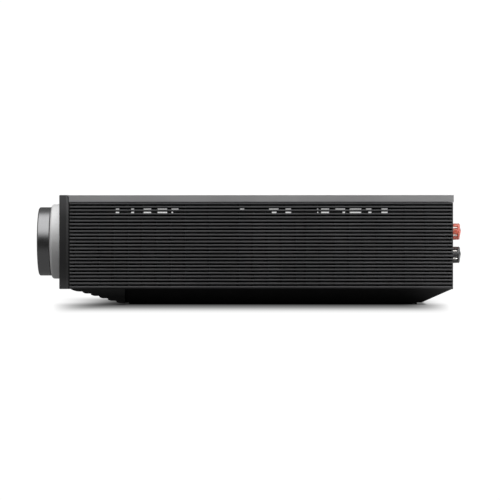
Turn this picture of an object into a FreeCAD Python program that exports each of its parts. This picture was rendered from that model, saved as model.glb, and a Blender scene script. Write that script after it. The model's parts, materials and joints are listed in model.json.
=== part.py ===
import FreeCAD, Part
import math
import os
from FreeCAD import Vector

# A slim desktop integrated stereo amplifier, in millimetres.
# The front faces -Y, +X is to the right seen from the front and Z is up.
# The origin is under the middle of its outer box, on the surface it stands on.

# Outer box: front of the volume knob to the end of the binding posts
WIDTH = 317.0
DEPTH = 350.8
HEIGHT = 89.9
SIDE = WIDTH / 2
KNOB_FRONT = -DEPTH / 2
POST_END = DEPTH / 2

# Front plate
PLATE_FRONT = -153.05
PLATE_BACK = -145.3
PLATE_BOTTOM = 13.1
PLATE_EDGE = 0.5
PLATE_REAR_CHAMFER = (1.2, 1.9)

# Lid: a top sheet with a lip down each side
LID_FRONT = -145.1
LID_REAR = 168.95
LID_EDGE = 0.15
LID_TONGUE = (2.0, 1.5)
LIP_TAIL = (5.3, 0.68)
LID_THICK = 2.0
LIP_HEIGHT = 5.5
LIP_THICK = 2.0
LID_UNDER = HEIGHT - LID_THICK

# Slatted side panels
SLAT_COUNT = 25
SLAT_PITCH = 2.837
SLAT_THICK = 1.56
SLAT_DEEP = 5.0
TOP_SLAT = 82.9
SLAT_FRONT = -144.2
SLAT_REAR = 168.4
RIB_THICK = 2.2
RIB_DEEP = 2.8
END_STRIP = 1.2

# Vents in the chassis walls. Right: first window's front edge and how many, per bank. Left: long slots.
WINDOW_LONG = 9.3
WINDOW_PITCH = 11.7
WINDOW_BANKS = [(-120.1, 6), (-5.8, 4), (49.2, 6)]
LEFT_SLOTS = [(-132, -60), (-20, 37), (50, 127)]
WINDOW_LOW = 74.3
WINDOW_HIGH = 83.0

# Chassis: folded sheet with a floor, two walls and a front wall
SHEET = 1.2
WALL_OUT = SIDE - SLAT_DEEP - RIB_DEEP
WALL_IN = WALL_OUT - SHEET
FLOOR_LOW = 13.1
FLOOR_TOP = FLOOR_LOW + SHEET
CHASSIS_REAR = 167.9
CHASSIS_FRONT = PLATE_BACK
FRONT_WALL_BACK = CHASSIS_FRONT + SHEET
REAR_PANEL_IN = 151.6
REAR_PANEL_OUT = REAR_PANEL_IN + SHEET

# Base hull: a shallow tapered tray on two rubber rails
RAIL_HIGH = 1.9
RAIL_REAR = 140.0
HULL_TOP = 13.1
HULL_FRONT_TOP = -143.5
HULL_FRONT_LOW = -99.3
HULL_REAR_TOP = 167.3
HULL_REAR_LOW = 143.3
HULL_SIDE_TOP = SIDE - 0.3
HULL_SIDE_LOW = HULL_SIDE_TOP - 24.1
HULL_WALL = 2.4
LOUVRES = 6
FIRST_LOUVRE_LONG = 9.4
FIRST_LOUVRE_FALL = 2.4
LOUVRE_LOW = 0.4
LOUVRE_GAP = 0.4
LOUVRE_BULGE = 0.4
LOUVRE_THICK = 1.3

# Concentric controls at the right of the front
DIAL_X = 86.0
DIAL_Z = 52.2
KNOB_R = 28.6
KNOB_BACK = -165.3
RING_R = 31.2
RING_FRONT = -164.8
RING_BACK = -153.55
VOLUME_SHAFT_R = 3.0
RING_SHAFT_R = 4.5
SHAFT_BACK = -142.2
SHAFT_PLAY = 0.05
ENCODER_SIZE = 30.0
BOARD_FRONT = -138.6
BOARD_THICK = 1.6

# Buttons, remote window, headphone socket and display in the front plate
MOVING_GAP = 0.3
BUTTON_FRONT = PLATE_FRONT + 0.2
BUTTON_TRAVEL = 0.8
BUTTON_R = 3.9
POWER_BUTTON_R = 5.0
BUTTON_X = 137.0
BUTTON_PITCH = 12.0
SMALL_COLUMN_X = 44.5
SMALL_COLUMN_PITCH = 24.0
JACK_BORE_R = 1.78
JACK_BORE_LONG = 15.0
WINDOW_R = 3.0
DISPLAY_X = -51.0
DISPLAY_WIDE = 170.0
DISPLAY_HIGH = 62.0
GLASS_THICK = 2.0

# Binding posts: two on each side, red above black
POST_X = 134.5
POST_PITCH = 19.05
BLACK_POST_Z = 41.05
RED_POST_Z = BLACK_POST_Z + POST_PITCH
STUD_R = 3.0
STUD_REACH = 11.6
CAP_R = 6.8
CAP_FRONT = 156.2
CAP_END = 174.6
CAP_SHOULDER = 1.4
PLUG_R = 3.5
THREAD_PLAY = 0.08
FLUTES = 6

# Rear sockets: centres as X and Z
INLET = (-104.0, 32.0)
SWITCH = (-104.0, 60.0)
PHONO_COLUMNS = [68.0, 82.0, 96.0]
PHONO_R = 4.15
MAIN_BOARD_TOP = 27.0
NETWORK_X = -8.0
USB_X = 16.0
VIDEO_X = 40.0
OPTICAL_X = [25.0, 40.0]
OPTICAL_Z = 62.0
MINI_JACK_X = [-6.0, 8.0]

# Boards inside
STANDOFF_R = 2.8
LOW_BOARD = 20.0
POWER_BOARD = (-142.0, -22.0, -60.0, 118.0)
AMP_BOARD = (16.0, 142.0, -112.0, 82.0)
MAIN_BOARD = (-19.0, 56.0, 88.0, 140.0)
SINK = (22.0, 126.0, -53.0, -9.5)
SINK_TOP = 81.5

UP = Vector(0, 0, 1)
BACKWARD = Vector(0, 1, 0)
RIGHTWARD = Vector(1, 0, 0)


def block(x0, x1, y0, y1, z0, z1):
    """A box between two limits on each axis."""
    return Part.makeBox(x1 - x0, y1 - y0, z1 - z0, Vector(x0, y0, z0))


def rod(x, z, radius, y0, y1):
    """A cylinder along Y."""
    return Part.makeCylinder(radius, y1 - y0, Vector(x, y0, z), BACKWARD)


def post(x, y, radius, z0, z1):
    """A cylinder along Z."""
    return Part.makeCylinder(radius, z1 - z0, Vector(x, y, z0), UP)


def joined(shapes):
    """One solid from overlapping shapes."""
    return shapes[0].multiFuse(shapes[1:]).removeSplitter()


def without(shape, tools):
    """The shape with every tool cut away."""
    return shape.cut(Part.makeCompound(tools))


def mirrored(shape):
    """The same shape on the other side of the middle."""
    return shape.mirror(Vector(0, 0, 0), RIGHTWARD)


def turned(profile, x, z):
    """A solid turned about an axis along Y; the profile is (radius, y) corners."""
    corners = [Vector(x + radius, y, z) for radius, y in profile]
    outline = Part.makePolygon(corners + [corners[0]])
    return Part.Face(outline).revolve(Vector(x, 0, z), BACKWARD, 360)


def rim(shape, radius, y):
    """The full circular edges of one radius at one depth."""
    found = []
    for edge in shape.Edges:
        curve = edge.Curve
        if isinstance(curve, Part.Circle) and abs(curve.Radius - radius) < 0.01:
            if abs(edge.CenterOfMass.y - y) < 0.01:
                found.append(edge)
    return found


def side_outline(points, x0, x1):
    """A prism along X from (y, z) corners."""
    corners = [Vector(x0, y, z) for y, z in points]
    return Part.Face(Part.makePolygon(corners + [corners[0]])).extrude(Vector(x1 - x0, 0, 0))


def front_outline(points, y0, y1):
    """A prism along Y from (x, z) corners."""
    corners = [Vector(x, y0, z) for x, z in points]
    return Part.Face(Part.makePolygon(corners + [corners[0]])).extrude(Vector(0, y1 - y0, 0))


def button_rows():
    """Height of each function button, from the top down."""
    return [DIAL_Z + BUTTON_PITCH * (2 - row) for row in range(5)]


def power_button_z():
    return DIAL_Z + SMALL_COLUMN_PITCH


def jack_z():
    return DIAL_Z - SMALL_COLUMN_PITCH


def window_starts():
    """The front edge of every vent window."""
    starts = []
    for first, count in WINDOW_BANKS:
        starts += [first + WINDOW_PITCH * i for i in range(count)]
    return starts


# Enclosure

def front_plate():
    plate = block(-SIDE, SIDE, PLATE_FRONT, PLATE_BACK, PLATE_BOTTOM, HEIGHT)
    front_edges = [e for e in plate.Edges if e.BoundBox.YMax < PLATE_FRONT + 0.01]
    plate = plate.makeChamfer(PLATE_EDGE, front_edges)
    inset, run = PLATE_REAR_CHAMFER
    for sign in (-1, 1):
        wedge = Part.Face(Part.makePolygon([
            Vector(sign * (SIDE - inset), PLATE_BACK, 0), Vector(sign * (SIDE + 1), PLATE_BACK, 0),
            Vector(sign * (SIDE + 1), PLATE_BACK - run, 0), Vector(sign * SIDE, PLATE_BACK - run, 0),
            Vector(sign * (SIDE - inset), PLATE_BACK, 0)]))
        plate = plate.cut(wedge.extrude(Vector(0, 0, HEIGHT)))
    reach, drop = LID_TONGUE
    bevel = side_outline([(PLATE_BACK - reach, HEIGHT + 0.1), (PLATE_BACK + 1, HEIGHT + 0.1),
                          (PLATE_BACK + 1, HEIGHT - drop - 0.2), (PLATE_BACK, HEIGHT - drop - 0.2)],
                         -SIDE - 1, SIDE + 1)
    plate = plate.cut(bevel)
    wide = DISPLAY_WIDE / 2
    high = DISPLAY_HIGH / 2
    glass_back = PLATE_FRONT + 0.1 + GLASS_THICK
    holes = [
        block(DISPLAY_X - wide - 0.2, DISPLAY_X + wide + 0.2, PLATE_FRONT - 1, glass_back,
              DIAL_Z - high - 0.2, DIAL_Z + high + 0.2),
        block(DISPLAY_X - wide + 3, DISPLAY_X + wide - 3, PLATE_FRONT - 1, PLATE_BACK + 1,
              DIAL_Z - high + 3, DIAL_Z + high - 3),
        rod(DIAL_X, DIAL_Z, 7.0, PLATE_FRONT - 1, PLATE_BACK + 1),
        rod(SMALL_COLUMN_X, DIAL_Z, WINDOW_R + 0.1, PLATE_FRONT - 1, PLATE_BACK + 1),
        rod(SMALL_COLUMN_X, jack_z(), 4.0, PLATE_FRONT - 1, PLATE_BACK + 1),
        button_hole(SMALL_COLUMN_X, power_button_z(), POWER_BUTTON_R)]
    holes += [button_hole(BUTTON_X, z, BUTTON_R) for z in button_rows()]
    return without(plate, holes)


def button_hole(x, z, radius):
    """The hole for a button's head with room behind for its flange."""
    head = rod(x, z, radius + MOVING_GAP, PLATE_FRONT - 1, PLATE_BACK + 1)
    flange = rod(x, z, radius + 1.5, PLATE_BACK - 1.9, PLATE_BACK + 1)
    return head.fuse(flange)


def display_window():
    wide = DISPLAY_WIDE / 2
    high = DISPLAY_HIGH / 2
    front = PLATE_FRONT + 0.1
    glass = block(DISPLAY_X - wide, DISPLAY_X + wide, front, front + GLASS_THICK,
                  DIAL_Z - high, DIAL_Z + high)
    upright = [e for e in glass.Edges if e.BoundBox.YLength > GLASS_THICK - 0.01]
    return glass.makeFillet(1.0, upright)


def display_module():
    wide = DISPLAY_WIDE / 2 - 4
    high = DISPLAY_HIGH / 2 - 3.5
    front = PLATE_FRONT + 0.1 + GLASS_THICK
    frame = block(DISPLAY_X - wide, DISPLAY_X + wide, front, PLATE_BACK - 0.4,
                  DIAL_Z - high, DIAL_Z + high)
    connector = block(DISPLAY_X - 16, DISPLAY_X + 16, PLATE_BACK - 0.5, PLATE_BACK + 3.5,
                      DIAL_Z - 3, DIAL_Z + 3)
    return joined([frame, connector])


def remote_window():
    return rod(SMALL_COLUMN_X, DIAL_Z, WINDOW_R, BUTTON_FRONT, BUTTON_FRONT + 3)


def lid():
    sheet = block(-SIDE, SIDE, LID_FRONT, LID_REAR, LID_UNDER, HEIGHT)
    lip_low = HEIGHT - LIP_HEIGHT
    run, drop = LIP_TAIL
    lips = [side_outline([(LID_FRONT, HEIGHT - 0.5), (LID_FRONT, lip_low), (LID_REAR - run, lip_low),
                          (LID_REAR, lip_low - drop), (LID_REAR, HEIGHT - 0.5)], x, x + LIP_THICK)
            for x in (-SIDE, SIDE - LIP_THICK)]
    rear_tab = block(-62, 62, REAR_PANEL_OUT, REAR_PANEL_OUT + SHEET, 79, LID_UNDER + 0.5)
    body = joined([sheet, rear_tab] + lips)
    slots = []
    for side in (-1, 1):
        for row in range(14):
            y = -66 + 11 * row
            x = side * 92
            slot = block(x - 38, x + 38, y - 1.5, y + 1.5, LID_UNDER - 1, HEIGHT + 1)
            ends = [post(x + end * 38, y, 1.5, LID_UNDER - 1, HEIGHT + 1) for end in (-1, 1)]
            slots += [slot] + ends
    holes = [rod(x, 83, 1.7, REAR_PANEL_IN, REAR_PANEL_OUT + 2) for x in (-50, 0, 50)]
    body = without(body, slots + holes)
    top_edges = [e for e in body.Edges
                 if e.BoundBox.ZMin > HEIGHT - 0.01 and e.BoundBox.YLength > 300]
    body = body.makeChamfer(LID_EDGE, top_edges)
    reach, drop = LID_TONGUE
    tongue = side_outline([(LID_FRONT - reach, HEIGHT), (LID_FRONT + 1, HEIGHT),
                           (LID_FRONT + 1, HEIGHT - drop), (LID_FRONT, HEIGHT - drop)],
                          -SIDE + LID_EDGE, SIDE - LID_EDGE)
    return joined([body, tongue])


def right_rib_places():
    """Depth of each rib: between neighbouring windows, beside each bank and at the ends."""
    bar = WINDOW_PITCH - WINDOW_LONG
    places = [SLAT_FRONT + 3, SLAT_REAR - 3, 128.6, 145.6, -31.4]
    for first, count in WINDOW_BANKS:
        places += [first - bar / 2 + WINDOW_PITCH * i for i in range(count + 1)]
    return places


def left_rib_places():
    """Depth of each rib: beside each slot and at the ends."""
    places = [SLAT_FRONT + 3, SLAT_REAR - 3, -40, 145.6]
    for front, rear in LEFT_SLOTS:
        places += [front - RIB_THICK, rear + RIB_THICK]
    return places


def side_panel(rib_places):
    """A right-hand panel: horizontal slats joined behind by upright ribs."""
    slats = []
    for i in range(SLAT_COUNT):
        middle = TOP_SLAT - SLAT_PITCH * i
        low = middle - SLAT_THICK / 2
        if i == SLAT_COUNT - 1:
            low = PLATE_BOTTOM
        slats.append(block(SIDE - SLAT_DEEP, SIDE, SLAT_FRONT, SLAT_REAR,
                           low, middle + SLAT_THICK / 2))
    bottom = slats[-1]
    low_edge = [e for e in bottom.Edges
                if e.BoundBox.XMin > SIDE - 0.01 and e.BoundBox.ZMax < PLATE_BOTTOM + 0.01]
    slats[-1] = bottom.makeFillet(1.2, low_edge)
    top = TOP_SLAT + SLAT_THICK / 2
    half = RIB_THICK / 2
    ribs = [block(WALL_OUT, WALL_OUT + RIB_DEEP + 0.5, y - half, y + half, PLATE_BOTTOM, top)
            for y in rib_places]
    strip = block(WALL_OUT, SIDE - 0.4, SLAT_REAR - END_STRIP, SLAT_REAR, PLATE_BOTTOM + 1.3, top)
    return joined(slats + ribs + [strip])


def chassis_frame():
    floor = block(-WALL_OUT, WALL_OUT, CHASSIS_FRONT, CHASSIS_REAR, FLOOR_LOW, FLOOR_TOP)
    wall_top = LID_UNDER
    walls = [block(x, x + SHEET, CHASSIS_FRONT, CHASSIS_REAR, FLOOR_LOW, wall_top)
             for x in (-WALL_OUT, WALL_IN)]
    front = block(-WALL_OUT, WALL_OUT, CHASSIS_FRONT, FRONT_WALL_BACK, FLOOR_LOW, wall_top)
    tabs = [block(x, x + 9, REAR_PANEL_IN - SHEET, REAR_PANEL_IN, 18, 82)
            for x in (-WALL_IN - 0.5, WALL_IN + 0.5 - 9)]
    body = joined([floor, front] + walls + tabs)
    holes = []
    for y in window_starts():
        holes.append(block(WALL_IN - 1, WALL_OUT + 1, y, y + WINDOW_LONG, WINDOW_LOW, WINDOW_HIGH))
    for front, rear in LEFT_SLOTS:
        holes.append(block(-WALL_OUT - 1, -WALL_IN + 1, front, rear, WINDOW_LOW, WINDOW_HIGH))
    holes += [
        block(DISPLAY_X - 40, DISPLAY_X + 40, CHASSIS_FRONT - 1, FRONT_WALL_BACK + 1,
              DIAL_Z - 15, DIAL_Z + 15),
        rod(DIAL_X, DIAL_Z, 6.3, CHASSIS_FRONT - 1, FRONT_WALL_BACK + 1),
        block(SMALL_COLUMN_X - 7, SMALL_COLUMN_X + 7, CHASSIS_FRONT - 1, FRONT_WALL_BACK + 1, 18, 84),
        block(BUTTON_X - 6, BUTTON_X + 6, CHASSIS_FRONT - 1, FRONT_WALL_BACK + 1, 18, 84)]
    for x in (-WALL_IN + 4.5, WALL_IN - 4.5):
        holes += [rod(x, z, 1.6, REAR_PANEL_IN - 2, REAR_PANEL_IN + 1) for z in (24, 76)]
    holes += [post(x, y, 1.6, FLOOR_LOW - 1, FLOOR_TOP + 1) for x, y in base_screw_places()]
    for row in range(9):
        for x in (-78, 78):
            holes.append(block(x - 40, x + 40, -92 + 20 * row, -88 + 20 * row,
                               FLOOR_LOW - 1, FLOOR_TOP + 1))
    return without(body, holes)


def rear_panel():
    panel = block(-WALL_IN, WALL_IN, REAR_PANEL_IN, REAR_PANEL_OUT, FLOOR_TOP, LID_UNDER - 0.2)
    behind = REAR_PANEL_IN - 1
    front = REAR_PANEL_OUT + 1
    x, z = INLET
    holes = [block(x - 13.6, x + 13.6, behind, front, z - 10.1, z + 10.1)]
    x, z = SWITCH
    holes.append(block(x - 9.9, x + 9.9, behind, front, z - 8.1, z + 8.1))
    for side in (-1, 1):
        holes += [rod(side * POST_X, z, 4.7, behind, front) for z in (RED_POST_Z, BLACK_POST_Z)]
    for x in PHONO_COLUMNS:
        holes += [rod(x, z, 4.3, behind, front) for z in (RED_POST_Z, BLACK_POST_Z)]
    for low, high, x0, x1 in board_socket_sizes():
        holes.append(block(x0 - 0.2, x1 + 0.2, behind, front, low - 0.2, high + 0.2))
    for x in OPTICAL_X:
        holes.append(block(x - 5.1, x + 5.1, behind, front, OPTICAL_Z - 5.1, OPTICAL_Z + 5.1))
    holes += [rod(x, OPTICAL_Z, 3.1, behind, front) for x in MINI_JACK_X]
    holes += [rod(x, 83, 1.6, behind, front) for x in (-50, 0, 50)]
    for x in (-WALL_IN + 4.5, WALL_IN - 4.5):
        holes += [rod(x, z, 1.6, behind, front) for z in (24, 76)]
    for column in range(16):
        x = -74 + 3.6 * column
        holes.append(block(x - 0.9, x + 0.9, behind, front, 46, 74))
    return without(panel, holes)


def hull_wedge(inset, bottom=RAIL_HIGH):
    """The tapered outline of the hull seen from the front, as a long prism."""
    slope = (HULL_SIDE_TOP - HULL_SIDE_LOW) / (HULL_TOP - RAIL_HIGH)
    high = HULL_SIDE_TOP - inset
    low = high - slope * (HULL_TOP - bottom)
    return front_outline([(-high, HULL_TOP), (-low, bottom), (low, bottom), (high, HULL_TOP)],
                         HULL_FRONT_TOP - 1, HULL_REAR_TOP + 1)


def hull_side(inset, floor):
    """The hull seen from the side: flat bottom, sloping rear, upright front wall."""
    slope = (HULL_REAR_TOP - HULL_REAR_LOW) / (HULL_TOP - RAIL_HIGH)
    front = HULL_FRONT_LOW + inset
    return side_outline([(front, HULL_TOP + 1), (front, floor),
                         (HULL_REAR_LOW - inset + slope * (floor - RAIL_HIGH), floor),
                         (HULL_REAR_TOP - inset + slope, HULL_TOP + 1)], -SIDE, SIDE)


def base_screw_places():
    return [(x, y) for x in (-118, 118) for y in (-82, 20, 122)]


def base_hull():
    outer = hull_wedge(0).common(hull_side(0, RAIL_HIGH))
    inner = hull_wedge(HULL_WALL).common(hull_side(HULL_WALL, RAIL_HIGH + HULL_WALL))
    tray = outer.cut(inner)
    bosses = [post(x, y, 4.5, RAIL_HIGH, HULL_TOP) for x, y in base_screw_places()]
    stiffeners = [block(-125, 125, y - 0.8, y + 0.8, RAIL_HIGH + 1, HULL_TOP) for y in (-30, 70)]
    body = joined([tray] + bosses + stiffeners)
    holes = [post(x, y, 1.7, RAIL_HIGH - 1, HULL_TOP + 1) for x, y in base_screw_places()]
    holes += [post(x, y, 3.3, RAIL_HIGH - 1, RAIL_HIGH + 2.2) for x, y in base_screw_places()]
    holes.append(block(-112, 112, HULL_FRONT_LOW - 1, HULL_FRONT_LOW + HULL_WALL + 1, 5, HULL_TOP + 1))
    for row in range(8):
        y = -74 + 26 * row
        holes += [block(x - 22, x + 22, y - 1.5, y + 1.5, RAIL_HIGH - 1, RAIL_HIGH + 4)
                  for x in (-56, 0, 56)]
    return without(body, holes)


def louvre_steps():
    """Front edge, length, upper level and fall of each louvre, going back and down."""
    others = LOUVRES - 1
    long = (HULL_FRONT_LOW - HULL_FRONT_TOP - FIRST_LOUVRE_LONG) / others
    fall = (HULL_TOP - LOUVRE_LOW - FIRST_LOUVRE_FALL) / others
    steps = [(HULL_FRONT_TOP, FIRST_LOUVRE_LONG, HULL_TOP, FIRST_LOUVRE_FALL)]
    for i in range(others):
        steps.append((HULL_FRONT_TOP + FIRST_LOUVRE_LONG + long * i, long,
                      HULL_TOP - FIRST_LOUVRE_FALL - fall * i, fall))
    return steps


def louvre_slat(y, long, z, fall):
    """A slat with a shallow arched underside, falling towards the rear."""
    start = Vector(-SIDE, y, z)
    end = Vector(-SIDE, y + long - LOUVRE_GAP, z - fall)
    middle = (start + end) / 2 - UP * LOUVRE_BULGE
    over_end = end + UP * LOUVRE_THICK
    over_start = Vector(-SIDE, y + 1.5, z)
    arc = Part.Arc(start, middle, end).toShape()
    corners = [end, over_end, over_start, start]
    lines = [Part.makeLine(a, b) for a, b in zip(corners, corners[1:])]
    return Part.Face(Part.Wire([arc] + lines)).extrude(Vector(2 * SIDE, 0, 0))


def intake_louvre():
    slats = [louvre_slat(y, long, z, fall) for y, long, z, fall in louvre_steps()]
    back = HULL_FRONT_LOW
    web_side = [(HULL_FRONT_TOP + 3, HULL_TOP), (back, LOUVRE_LOW + 0.9), (back, HULL_TOP)]
    webs = [side_outline(web_side, x - 0.8, x + 0.8) for x in (-125, -75, -25, 25, 75, 125)]
    skin = hull_wedge(0, LOUVRE_LOW).cut(hull_wedge(HULL_WALL, LOUVRE_LOW))
    end_walls = side_outline(web_side, -SIDE, SIDE).common(skin)
    front = HULL_FRONT_TOP
    top_bar = side_outline([(front, HULL_TOP), (front + 1, HULL_TOP - 0.7), (front + 4, HULL_TOP - 1),
                            (front + 4, HULL_TOP)], -SIDE, SIDE)
    clipped = joined(slats + webs + [top_bar]).common(hull_wedge(0, LOUVRE_LOW))
    return joined([clipped, end_walls])


def foot_rails():
    rails = []
    for x in (-103, 103):
        rail = block(x - 8, x + 8, HULL_FRONT_LOW, RAIL_REAR, 0, RAIL_HIGH)
        upright = [e for e in rail.Edges if e.BoundBox.ZLength > RAIL_HIGH - 0.01]
        rails.append(rail.makeFillet(3.0, upright))
    return Part.makeCompound(rails)


def screw(x, y, z, direction, length, head_r=3.0, head_high=1.8, shank_r=1.5):
    """A machine screw: the head sits at the point and the shank runs along the direction."""
    head = Part.makeCylinder(head_r, head_high, Vector(x, y, z), direction)
    tip = Vector(x, y, z) + direction * head_high
    shank = Part.makeCylinder(shank_r, length, tip - direction * 0.2, direction)
    slot = Part.makeBox(2 * head_r * 0.7, 0.6, 0.6)
    slot.translate(Vector(-head_r * 0.7, -0.3, -0.1))
    cross = slot.copy()
    cross.rotate(Vector(0, 0, 0), UP, 90)
    turn = FreeCAD.Rotation(UP, direction)
    for cut in (slot, cross):
        cut.Placement = FreeCAD.Placement(Vector(x, y, z), turn).multiply(cut.Placement)
    return head.fuse(shank).cut(slot).cut(cross)


def lid_screws():
    forward = Vector(0, -1, 0)
    head = REAR_PANEL_OUT + SHEET + 1.8
    return Part.makeCompound([screw(x, head, 83, forward, 6) for x in (-50, 0, 50)])


def rear_panel_screws():
    forward = Vector(0, -1, 0)
    places = [(x, z) for x in (-WALL_IN + 4.5, WALL_IN - 4.5) for z in (24, 76)]
    return Part.makeCompound([screw(x, REAR_PANEL_OUT + 1.8, z, forward, 5) for x, z in places])


def base_screws():
    return Part.makeCompound([screw(x, y, RAIL_HIGH + 0.4, UP, 14) for x, y in base_screw_places()])


# Controls

def volume_knob():
    face = KNOB_FRONT
    profile = [(0, face + 0.4), (KNOB_R - 4, face + 0.4), (KNOB_R - 3.2, face), (KNOB_R - 0.9, face),
               (KNOB_R, face + 0.9), (KNOB_R, KNOB_BACK), (KNOB_R - 3, KNOB_BACK),
               (KNOB_R - 3, face + 4), (7, face + 4), (7, KNOB_BACK - 1), (VOLUME_SHAFT_R, KNOB_BACK - 1),
               (VOLUME_SHAFT_R, face + 2.5), (0, face + 2.5)]
    return turned(profile, DIAL_X, DIAL_Z)


def volume_shaft():
    return rod(DIAL_X, DIAL_Z, VOLUME_SHAFT_R, KNOB_FRONT + 2.5, SHAFT_BACK)


def source_ring():
    profile = [(RING_SHAFT_R, RING_FRONT), (RING_R, RING_FRONT), (RING_R, RING_BACK),
               (RING_R - 3.5, RING_BACK), (RING_R - 3.5, RING_FRONT + 3), (8.5, RING_FRONT + 3),
               (8.5, RING_BACK - 0.7), (RING_SHAFT_R, RING_BACK - 0.7)]
    body = turned(profile, DIAL_X, DIAL_Z)
    return body.makeFillet(2.4, rim(body, RING_R, RING_FRONT))


def ring_shaft():
    bore = VOLUME_SHAFT_R + SHAFT_PLAY
    profile = [(bore, RING_FRONT), (RING_SHAFT_R, RING_FRONT), (RING_SHAFT_R, SHAFT_BACK),
               (bore, SHAFT_BACK)]
    return turned(profile, DIAL_X, DIAL_Z)


def encoder_body():
    half = ENCODER_SIZE / 2
    case = block(DIAL_X - half, DIAL_X + half, FRONT_WALL_BACK, BOARD_FRONT, DIAL_Z - half, DIAL_Z + half)
    bushing = rod(DIAL_X, DIAL_Z, 6.2, RING_BACK + 1.3, FRONT_WALL_BACK + 1)
    bore = rod(DIAL_X, DIAL_Z, RING_SHAFT_R + SHAFT_PLAY, RING_BACK, SHAFT_BACK + 0.3)
    return joined([case, bushing]).cut(bore)


def button(x, z, radius):
    flange_back = PLATE_BACK - BUTTON_TRAVEL
    head = rod(x, z, radius, BUTTON_FRONT, flange_back - 0.8)
    head = head.makeChamfer(0.4, rim(head, radius, BUTTON_FRONT))
    flange = rod(x, z, radius + 1.1, flange_back - 0.8, flange_back)
    stem = rod(x, z, 1.5, flange_back - 0.1, PLATE_BACK + 1.1)
    return joined([head, flange, stem])


def headphone_jack():
    z = jack_z()
    nose = rod(SMALL_COLUMN_X, z, 4.0, PLATE_FRONT, PLATE_BACK + 2)
    case = block(SMALL_COLUMN_X - 6, SMALL_COLUMN_X + 6, PLATE_BACK, PLATE_FRONT + JACK_BORE_LONG + 2,
                 z - 6, z + 6)
    bore = rod(SMALL_COLUMN_X, z, JACK_BORE_R, PLATE_FRONT - 1, PLATE_FRONT + JACK_BORE_LONG)
    return joined([nose, case]).cut(bore)


def control_board():
    back = BOARD_FRONT + BOARD_THICK
    board = block(SMALL_COLUMN_X - 8, BUTTON_X + 9, BOARD_FRONT, back, 16, 84)
    notch = block(SMALL_COLUMN_X - 9, SMALL_COLUMN_X + 8, BOARD_FRONT - 1, back + 1, 15, 35)
    switch_face = PLATE_BACK + 2.3
    places = [(BUTTON_X, z) for z in button_rows()] + [(SMALL_COLUMN_X, power_button_z())]
    switches = [block(x - 3, x + 3, switch_face, BOARD_FRONT + 0.5, z - 3, z + 3) for x, z in places]
    chip = block(66, 80, back - 0.5, back + 1.6, 20, 32)
    return joined([board.cut(notch), chip] + switches)


# Rear sockets

def post_bases(z):
    bases = []
    for side in (-1, 1):
        x = side * POST_X
        flange = rod(x, z, 7.4, REAR_PANEL_OUT, CAP_FRONT - 0.5)
        collar = rod(x, z, 4.6, REAR_PANEL_IN - 1, REAR_PANEL_OUT + 0.5)
        washer = rod(x, z, 6.5, REAR_PANEL_IN - 2, REAR_PANEL_IN - 0.0)
        bases.append(joined([flange, collar, washer]).cut(rod(x, z, STUD_R, 140, 160)))
    return Part.makeCompound(bases)


def hexagon(x, z, across, y0, y1):
    reach = across / math.sqrt(3)
    corners = [(x + reach * math.cos(math.radians(60 * i)), z + reach * math.sin(math.radians(60 * i)))
               for i in range(6)]
    return front_outline(corners, y0, y1)


def post_studs():
    studs = []
    for side in (-1, 1):
        for z in (RED_POST_Z, BLACK_POST_Z):
            x = side * POST_X
            stud = rod(x, z, STUD_R, 141, CAP_FRONT + STUD_REACH)
            nut = hexagon(x, z, 8, REAR_PANEL_IN - 5, REAR_PANEL_IN - 2)
            bore = rod(x, z, 2.05, REAR_PANEL_OUT, CAP_FRONT + STUD_REACH + 1)
            wire_hole = post(x, CAP_FRONT + 2, 1.2, z - 5, z + 5)
            studs.append(joined([stud, nut]).cut(bore).cut(wire_hole))
    return Part.makeCompound(studs)


def post_cap(x, z):
    """A fluted cap with a plain collar at its end and a recess for the plug."""
    body = rod(x, z, CAP_R, CAP_FRONT, CAP_END)
    body = body.makeFillet(CAP_SHOULDER, rim(body, CAP_R, CAP_END))
    thread = rod(x, z, STUD_R + THREAD_PLAY, CAP_FRONT - 1, CAP_FRONT + STUD_REACH + 1.5)
    neck = rod(x, z, 2.1, CAP_FRONT, CAP_END)
    recess = rod(x, z, PLUG_R + SHAFT_PLAY, CAP_END - 4.0, CAP_END + 1)
    flutes = []
    for i in range(FLUTES):
        turn = math.radians(360 / FLUTES * (i + 0.5))
        reach = CAP_R + 0.9
        flutes.append(rod(x + reach * math.cos(turn), z + reach * math.sin(turn), 1.9,
                          CAP_FRONT - 1, CAP_END - CAP_SHOULDER - 0.2))
    return without(body, [thread, neck, recess] + flutes)


def post_plug(x, z):
    """The domed plug that closes the end of a cap."""
    head_back = CAP_END - 3.9
    rise = POST_END - CAP_END
    head = rod(x, z, PLUG_R, head_back, CAP_END)
    ball_r = (PLUG_R ** 2 + rise ** 2) / (2 * rise)
    ball = Part.makeSphere(ball_r, Vector(x, POST_END - ball_r, z))
    dome = ball.common(rod(x, z, PLUG_R, CAP_END - 0.5, POST_END + 1))
    stem = rod(x, z, 1.7, head_back - 8, head_back + 0.5)
    return joined([head, dome, stem])


def mains_inlet():
    x, z = INLET
    flange = block(x - 15.5, x + 15.5, REAR_PANEL_OUT, REAR_PANEL_OUT + 2, z - 12.2, z + 12.2)
    corners = [e for e in flange.Edges if e.BoundBox.YLength > 1.9]
    flange = flange.makeFillet(3, corners)
    case = block(x - 13.5, x + 13.5, REAR_PANEL_IN - 18, REAR_PANEL_OUT + 0.5, z - 10, z + 10)
    mouth = REAR_PANEL_OUT + 2
    recess = front_outline([(x - 12, z - 8.3), (x + 12, z - 8.3), (x + 12, z + 4.5), (x + 8, z + 8.3),
                            (x - 8, z + 8.3), (x - 12, z + 4.5)], mouth - 17, mouth + 1)
    slots = [block(cx - 2, cx + 2, REAR_PANEL_IN - 20, mouth - 16, cz - 1, cz + 1)
             for cx, cz in inlet_pin_places()]
    return without(joined([flange, case]), [recess] + slots)


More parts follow.
